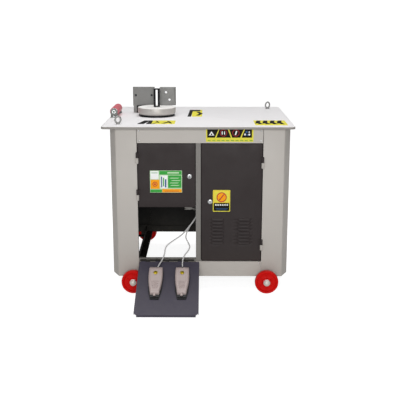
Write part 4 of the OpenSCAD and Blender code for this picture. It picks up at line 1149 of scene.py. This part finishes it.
def treadle_shell(x):
    """Cast foot plate as one grid, s from toe to heel and angle q over it from side to side: half width w(s),
    lower edge b(s) and crown h(s); the point is x + w(s) sgn(cos q)|cos q|^0.35,
    b + (h - b) e(s) (sin q)^0.3, where e(s) = (1 - |2s-1|^14)^0.5 brings the two ends down. The inside is the
    same 3.5 mm further in."""
    s = np.concatenate([[0, 0.004, 0.012, 0.025], np.linspace(0.05, 0.95, 37), [0.975, 0.988, 0.996, 1.0]])
    q = np.linspace(0, math.pi, 33)
    e = (1 - np.abs(2 * s - 1) ** 14) ** 0.5
    wide = np.interp(s, [0, 0.35, 0.6, 1], [35, 37, 34.5, 23]) * (0.93 + 0.07 * e)
    crown = np.interp(s, [0, 0.08, 0.3, 0.65, 1.0], [45, 49.5, 45, 36.5, 29])
    kernel = np.ones(5) / 5
    crown = np.convolve(np.pad(crown, 2, "edge"), kernel, "valid")
    wide = np.convolve(np.pad(wide, 2, "edge"), kernel, "valid")
    # the toe's lower edge lifts over its first 11 mm, clear of the lead gland when the toe is down
    low = 26 - 17 * s + 9.5 * np.clip(1 - s / 0.06, 0, 1) ** 0.5
    across = np.sign(np.cos(q)) * np.abs(np.cos(q)) ** 0.35
    up = np.abs(np.sin(q)) ** 0.3
    up[[0, -1]] = 0.0
    across[[0, -1]] = (1, -1)
    hood = (crown - low)[:, None] * e[:, None] * up[None, :]
    points = np.stack([
        x + wide[:, None] * across[None, :],
        np.broadcast_to(TOE + TREADLE * s[:, None], (len(s), len(q))),
        -5 + low[:, None] + hood
    ], -1)
    inner_s = (s[:, None] - 0.5) * 0.965 + 0.5
    inside = np.stack([
        x + (wide[:, None] - 3.5) * across[None, :],
        np.broadcast_to(TOE + TREADLE * inner_s, (len(s), len(q))),
        -5 + low[:, None] + np.maximum(hood - 3.5 * (up[None, :] > 0), 0)
    ], -1)
    vertices, faces = grid(np.concatenate([points, inside[:, ::-1]], 1), wrap_v=True)
    # the rims at toe and heel join the outside's edge to the inside's
    columns = 2 * len(q)
    i = np.arange(len(q) - 1)
    toe = np.stack([i, i + 1, columns - 2 - i, columns - 1 - i], 1)
    faces += toe.tolist() + (toe[:, [0, 3, 2, 1]] + len(vertices) - columns).tolist()
    return on_tray(vertices), faces


def tray_slab(outline, low, high, rim):
    """A slab drawn across and along the tray, its heights above the tray's own plane."""
    return moved(slab(outline, low, high, rim), on_tray)


class BENDER_OT_tray(bpy.types.Operator):
    """Fold-down tray with its two foot switches"""

    bl_idname = "bender.tray"
    bl_label = "Pedal tray"

    def execute(self, context):
        # the tray's hinge knuckles within 7 mm of the pin, and the roll over the pin, are black as painted
        # shade: the shadow line under the sill rail
        eased(
            "pedal_tray", FINISH["tray"], 0.9, FINISH["primer"],
            lambda centres, normals: np.hypot(centres[:, 1] - TRAY_PIN[0], centres[:, 2] - TRAY_PIN[1]) < 7
        )
        roll = [(0, -311), (4.3, -311), (4.7, -310.5), (4.7, -20.5), (4.3, -20), (0, -20)]
        piece(
            "tray_hinge_roll", "tray",
            [lathe(roll, (0, TRAY_PIN[0], TRAY_PIN[1]), "x", 28)], [FINISH["primer"]]
        )
        for side, x in PEDALS.items():
            eased(side + "_pedal_housing", FINISH["black_plastic"], 1.2)
            grips = []
            for k in range(4):
                along = 206 + 13 * k
                wide = 18 - 1.2 * k
                level = np.interp((along - TOE) / TREADLE, [0.3, 0.65, 1.0], [45, 36.5, 29]) - 5
                bar = rectangle(x - wide, x + wide, along, along + 6, 2.4)
                grips.append(tray_slab(bar, level - 2, level + 2.8, 1.5))
            end = TOE + TREADLE
            nose = tray_slab(rectangle(x - 6, x + 6, end - 2, end + 17, 3), 10, 18, 1.8)
            piece(
                side + "_treadle_casting", side + "_treadle",
                [treadle_shell(x), *grips, nose], [FINISH["pedal"]], replaces=[side + "_treadle"], crease=50
            )
            badge = tray_slab(circle(0, 0, 1, 32) * (10.5, 12) + (x, TOE + 50), 39.6, 42.4, 0.5)
            piece(side + "_treadle_badge", side + "_treadle", [badge], [FINISH["badge"]])
            t = np.linspace(0, 1, 25)
            ribs = 6.4 + 1.8 * t + 0.7 * np.cos(t * 10 * math.pi)
            boot = np.stack([np.full(25, x), TOE - 30 + 17 * t, np.full(25, 6.0)], 1)
            piece(
                side + "_lead_boot", "tray",
                [moved(tube(boot, ribs, 20), on_tray)], [FINISH["black_plastic"]]
            )
        paint(FINISH["zinc"], "treadle_pins")
        return {"FINISHED"}


# ---------- inside ----------

class BENDER_OT_machinery(bpy.types.Operator):
    """Gearbox, gears, shafts, belt drive and motor"""

    bl_idname = "bender.machinery"
    bl_label = "Machinery"

    def execute(self, context):
        eased("gearbox_housing", FINISH["machine"], 2.0)
        eased("gearbox_cover", FINISH["machine"], 1.5)
        paint(FINISH["machine"], "motor_body", "motor_fan_cowl")
        eased("motor_bracket", FINISH["frame"], 0.8)
        paint(FINISH["gear"], "main_gear", "idler_gears", "driven_pulley", "drive_pulley", "trip_cam")
        paint(FINISH["zinc"], "shaft_bearings", "idler_shaft", "input_shaft", "motor_rotor")
        paint(FINISH["black_plastic"], "cooling_fan", "limit_switches")
        paint(FINISH["belt"], "drive_belts")
        bolts = [
            slab(circle(x, y, 7.5, 6), 731.4, 737.2, 0.8)
            for x in (-394, -300, -200, -100, 0, 100) for y in (HEAD_Y - 152, HEAD_Y + 152)
        ]
        piece("cover_bolts", "cabinet", bolts, [FINISH["zinc"]])
        return {"FINISHED"}


class BENDER_OT_switchgear(bpy.types.Operator):
    """Electrical box with its switchgear, wiring ducts and glands"""

    bl_idname = "bender.switchgear"
    bl_label = "Switchgear"

    def execute(self, context):
        eased("electrical_box", FINISH["frame"], 0.7)
        eased("contactors", FINISH["black_plastic"], 1.2)
        eased("terminal_strip", FINISH["cream_plastic"], 0.5)
        eased("cable_glands", FINISH["duct"], 0.7)
        plate = slab(rectangle(-72, -14, deep(66), deep(150), 3), 438, 442, 0.6)
        nuts = [
            lathe([(6, 442), (9, 442), (9, 451), (8, 454), (6, 454)], (x, deep(84), 0), "z", 28, loop=True)
            for x in (-58, -36)
        ]
        lip = slab(
            np.array([(-72, 446), (-20, 436), (-14, 436), (-14, 442), (-58, 458), (-72, 458)], float),
            deep(66), deep(68.5), 0.5, "xzy"
        )
        piece("gland_bracket", "cabinet", [plate, lip, *nuts], [FINISH["frame"]])
        back = CAB_FRONT + 160
        ducts = []
        for x0, x1, z0, z1 in ((-300, -282, 480, 860), (-282, -8, 770, 792), (-282, -8, 614, 636)):
            ducts.append(slab(rectangle(x0, x1, z0, z1, 1.5), back - 38, back, 0.8, "xzy"))
            lid = rectangle(x0 - 1, x1 + 1, z0, z1, 1.5)
            ducts.append(slab(lid, back - 41, back - 36, 0.8, "xzy"))
        piece("wiring_ducts", "cabinet", ducts, [FINISH["duct"]])
        return {"FINISHED"}


# ---------- stickers ----------

INKS = ("yellow", "black", "white", "red", "blue", "green", "pale_green", "orange")


def slant(x0, x1, y0, y1, lean):
    """A parallelogram whose upper edge is shifted by the lean."""
    return np.array([(x0, y0), (x1, y0), (x1 + lean, y1), (x0 + lean, y1)], float)


def chevron(x, y0, y1, reach, width):
    """An arrowhead stripe that points to +X."""
    middle = (y0 + y1) / 2
    return np.array([
        (x, y0), (x + width, y0), (x + width + reach, middle), (x + width, y1), (x, y1), (x + reach, middle)
    ], float)


def sticker(name, body, face, layers):
    """Printed film: each layer is an outline or a ring (x, y, radius, width), 0.12 mm higher than the one
    under it. The face is the table's top or the front of the doors and apron."""
    shapes = []
    for level, (ink, form) in enumerate(layers):
        top = 0.3 + 0.12 * level
        if face == "table":
            low, high, axes = TABLE_Z - 0.1, TABLE_Z + top, "xyz"
        else:
            low, high, axes = CAB_FRONT - top, CAB_FRONT + 0.1, "xzy"
        if isinstance(form, tuple):
            x, y, radius, width = form
            section = [(radius - width, low), (radius, low), (radius, high), (radius - width, high)]
            centre = (x, y, 0.0) if face == "table" else (x, 0.0, y)
            shape = lathe(section, centre, "z" if face == "table" else "y", 40, loop=True)
        else:
            shape = slab(form, low, high, 0.04, axes)
        shapes.append((*shape, INKS.index(ink)))
    return piece(name, body, shapes, [FINISH[ink] for ink in INKS])


class BENDER_OT_stickers(bpy.types.Operator):
    """Plain stickers without words: stripes on the table, signs on the apron and doors"""

    bl_idname = "bender.stickers"
    bl_label = "Stickers"

    def execute(self, context):
        y0, y1 = deep(115), deep(255)
        sticker("table_stripes_left", "cabinet", "table", [
            ("yellow", rectangle(-252, -124, y0, y1, 6)),
            ("black", slant(-323, -288, y0, y1, 30)),
            ("black", np.array([(-276, y0), (-247, y0), (-247, y1), (-252, y1), (-262, y1)], float)),
            ("black", slant(-246, -236, y0, y0 + 60, 22)),
            ("black", slant(-214, -206, y0 + 50, y1 - 20, -18)),
            ("black", slant(-196, -176, y0 + 20, y0 + 75, 26)),
            ("black", slant(-150, -138, y0 + 25, y1 - 30, -20))
        ])
        y0, y1 = deep(420), deep(745)
        sticker("table_arrow_sign", "cabinet", "table", [
            ("yellow", rectangle(-40, 19, y0, y1, 6)),
            ("black", slant(-64, -44, y0, y1, 8)), ("black", rectangle(-54, 8, y1 - 75, y1 - 5)),
            ("black", chevron(-18, y0 + 50, y1 - 100, 20, 20))
        ])
        y0, y1 = deep(72), deep(262)
        sticker("table_stripes_right", "cabinet", "table", [
            ("yellow", rectangle(298, 468, y0, y1, 6)),
            *[("black", slant(x, x + 22, y0 + 66, y1 - 10, 16)) for x in (300, 338, 376, 414)],
            *[("black", slant(x + 24, x + 44, y0 + 40, y1 - 60, -14)) for x in (296, 334, 372, 410)]
        ])
        # four black fields with leaning sides: their two lower and two upper corners
        fields = [(47, 87, 105, 47), (94, 170, 153, 110), (176, 217, 236, 160), (225, 278, 278, 241)]
        heights = (831.5, 831.5, 874.3, 874.3)
        sticker("apron_sign", "cabinet", "front", [
            ("yellow", rectangle(41, 286, 810, 877.5, 3)),
            *[("black", np.array(list(zip(field, heights)), float)) for field in fields],
            ("white", np.array([(55, 843), (84, 843), (69.5, 865)], float)),
            ("black", circle(69.5, 849, 4.4, 20)),
            *[("red", (x, 856, 18, 2.4)) for x in (131, 195)],
            ("white", rectangle(122, 127, 848, 864, 2)), ("white", rectangle(134, 139, 848, 864, 2)),
            ("white", slant(189, 196, 846, 866, 6)),
            ("white", circle(242, 848.5, 4.6, 20)), ("white", circle(264, 848, 5, 20)),
            ("white", circle(264, 861, 3.4, 20)), ("blue", circle(250, 861, 6, 20)),
            ("blue", circle(253, 846, 4, 20)),
            *[("green", rectangle(x, x + 15, 815, 817.5)) for x in range(50, 276, 24)]
        ])
        sticker("left_door_sign", "left_door", "front", [
            ("pale_green", rectangle(-252, -84, 540, 658, 2)),
            ("green", rectangle(-203, -86, 636, 656)), ("pale_green", rectangle(-160, -100, 642, 650)),
            ("white", rectangle(-249, -207, 612, 655)), ("green", rectangle(-245, -212, 644, 647)),
            ("orange", rectangle(-249, -202, 560, 609)), ("red", (-226, 585, 13, 3.5)),
            ("red", circle(-226, 585, 5, 20)),
            ("white", rectangle(-198, -160, 562, 632)), ("blue", rectangle(-194, -188, 568, 626)),
            ("green", rectangle(-184, -178, 574, 620)), ("blue", rectangle(-174, -166, 568, 612)),
            ("green", rectangle(-157, -88, 566, 632)),
            ("pale_green", slant(-150, -106, 616, 620, 8)), ("pale_green", slant(-142, -98, 603, 607, 8)),
            ("pale_green", slant(-150, -108, 590, 594, 8)), ("pale_green", slant(-146, -104, 577, 581, 8)),
            ("green", rectangle(-250, -190, 542, 556)), ("orange", rectangle(-188, -86, 542, 559)),
            ("red", rectangle(-176, -100, 547, 550))
        ])
        sticker("right_door_sign", "right_door", "front", [
            ("yellow", rectangle(78, 169, 437, 554, 4)), ("orange", rectangle(82, 165, 486, 550, 2)),
            ("yellow", rectangle(83.5, 163.5, 487.5, 548.5, 2)), ("orange", circle(124, 515, 26, 40)),
            ("red", (124, 515, 27, 5)), ("red", slant(108, 115, 499, 531, 25)),
            ("black", rectangle(82, 165, 441, 484, 2)),
            *[("white", rectangle(90 + 12 * k, 98 + 12 * k, 470, 477)) for k in range(6)],
            ("blue", rectangle(92, 156, 453, 455)), ("blue", rectangle(96, 152, 446, 448))
        ])
        return {"FINISHED"}


# ---------- add-on ----------

OPERATORS = (
    BENDER_OT_stage, BENDER_OT_leads, BENDER_OT_cabinet, BENDER_OT_table, BENDER_OT_doors, BENDER_OT_head,
    BENDER_OT_roller, BENDER_OT_wheels, BENDER_OT_tray, BENDER_OT_machinery, BENDER_OT_switchgear,
    BENDER_OT_stickers
)


class BENDER_PT_panel(bpy.types.Panel):
    """Lists the bender's sizes, colours and pieces"""

    bl_idname = "BENDER_PT_panel"
    bl_label = "Rebar bender"
    bl_space_type = "VIEW_3D"
    bl_region_type = "UI"
    bl_category = "Bender"

    def draw(self, context):
        for group in (context.scene.bender_sizes, context.scene.bender_colours):
            box = self.layout.box()
            for key in group.bl_rna.properties.keys():
                if key not in ("rna_type", "name"):
                    box.prop(group, key)
        for operator in OPERATORS:
            self.layout.operator(operator.bl_idname)


CLASSES = (BenderSizes, BenderColours, *OPERATORS, BENDER_PT_panel)


def register():
    for cls in CLASSES:
        bpy.utils.register_class(cls)
    bpy.types.Scene.bender_sizes = bpy.props.PointerProperty(type=BenderSizes)
    bpy.types.Scene.bender_colours = bpy.props.PointerProperty(type=BenderColours)


def unregister():
    del bpy.types.Scene.bender_colours
    del bpy.types.Scene.bender_sizes
    for cls in reversed(CLASSES):
        bpy.utils.unregister_class(cls)


def main():
    register()
    make_finishes(bpy.context.scene.bender_colours)
    for operator in OPERATORS:
        group, action = operator.bl_idname.split(".")
        getattr(getattr(bpy.ops, group), action)()


if __name__ == "__main__":
    main()
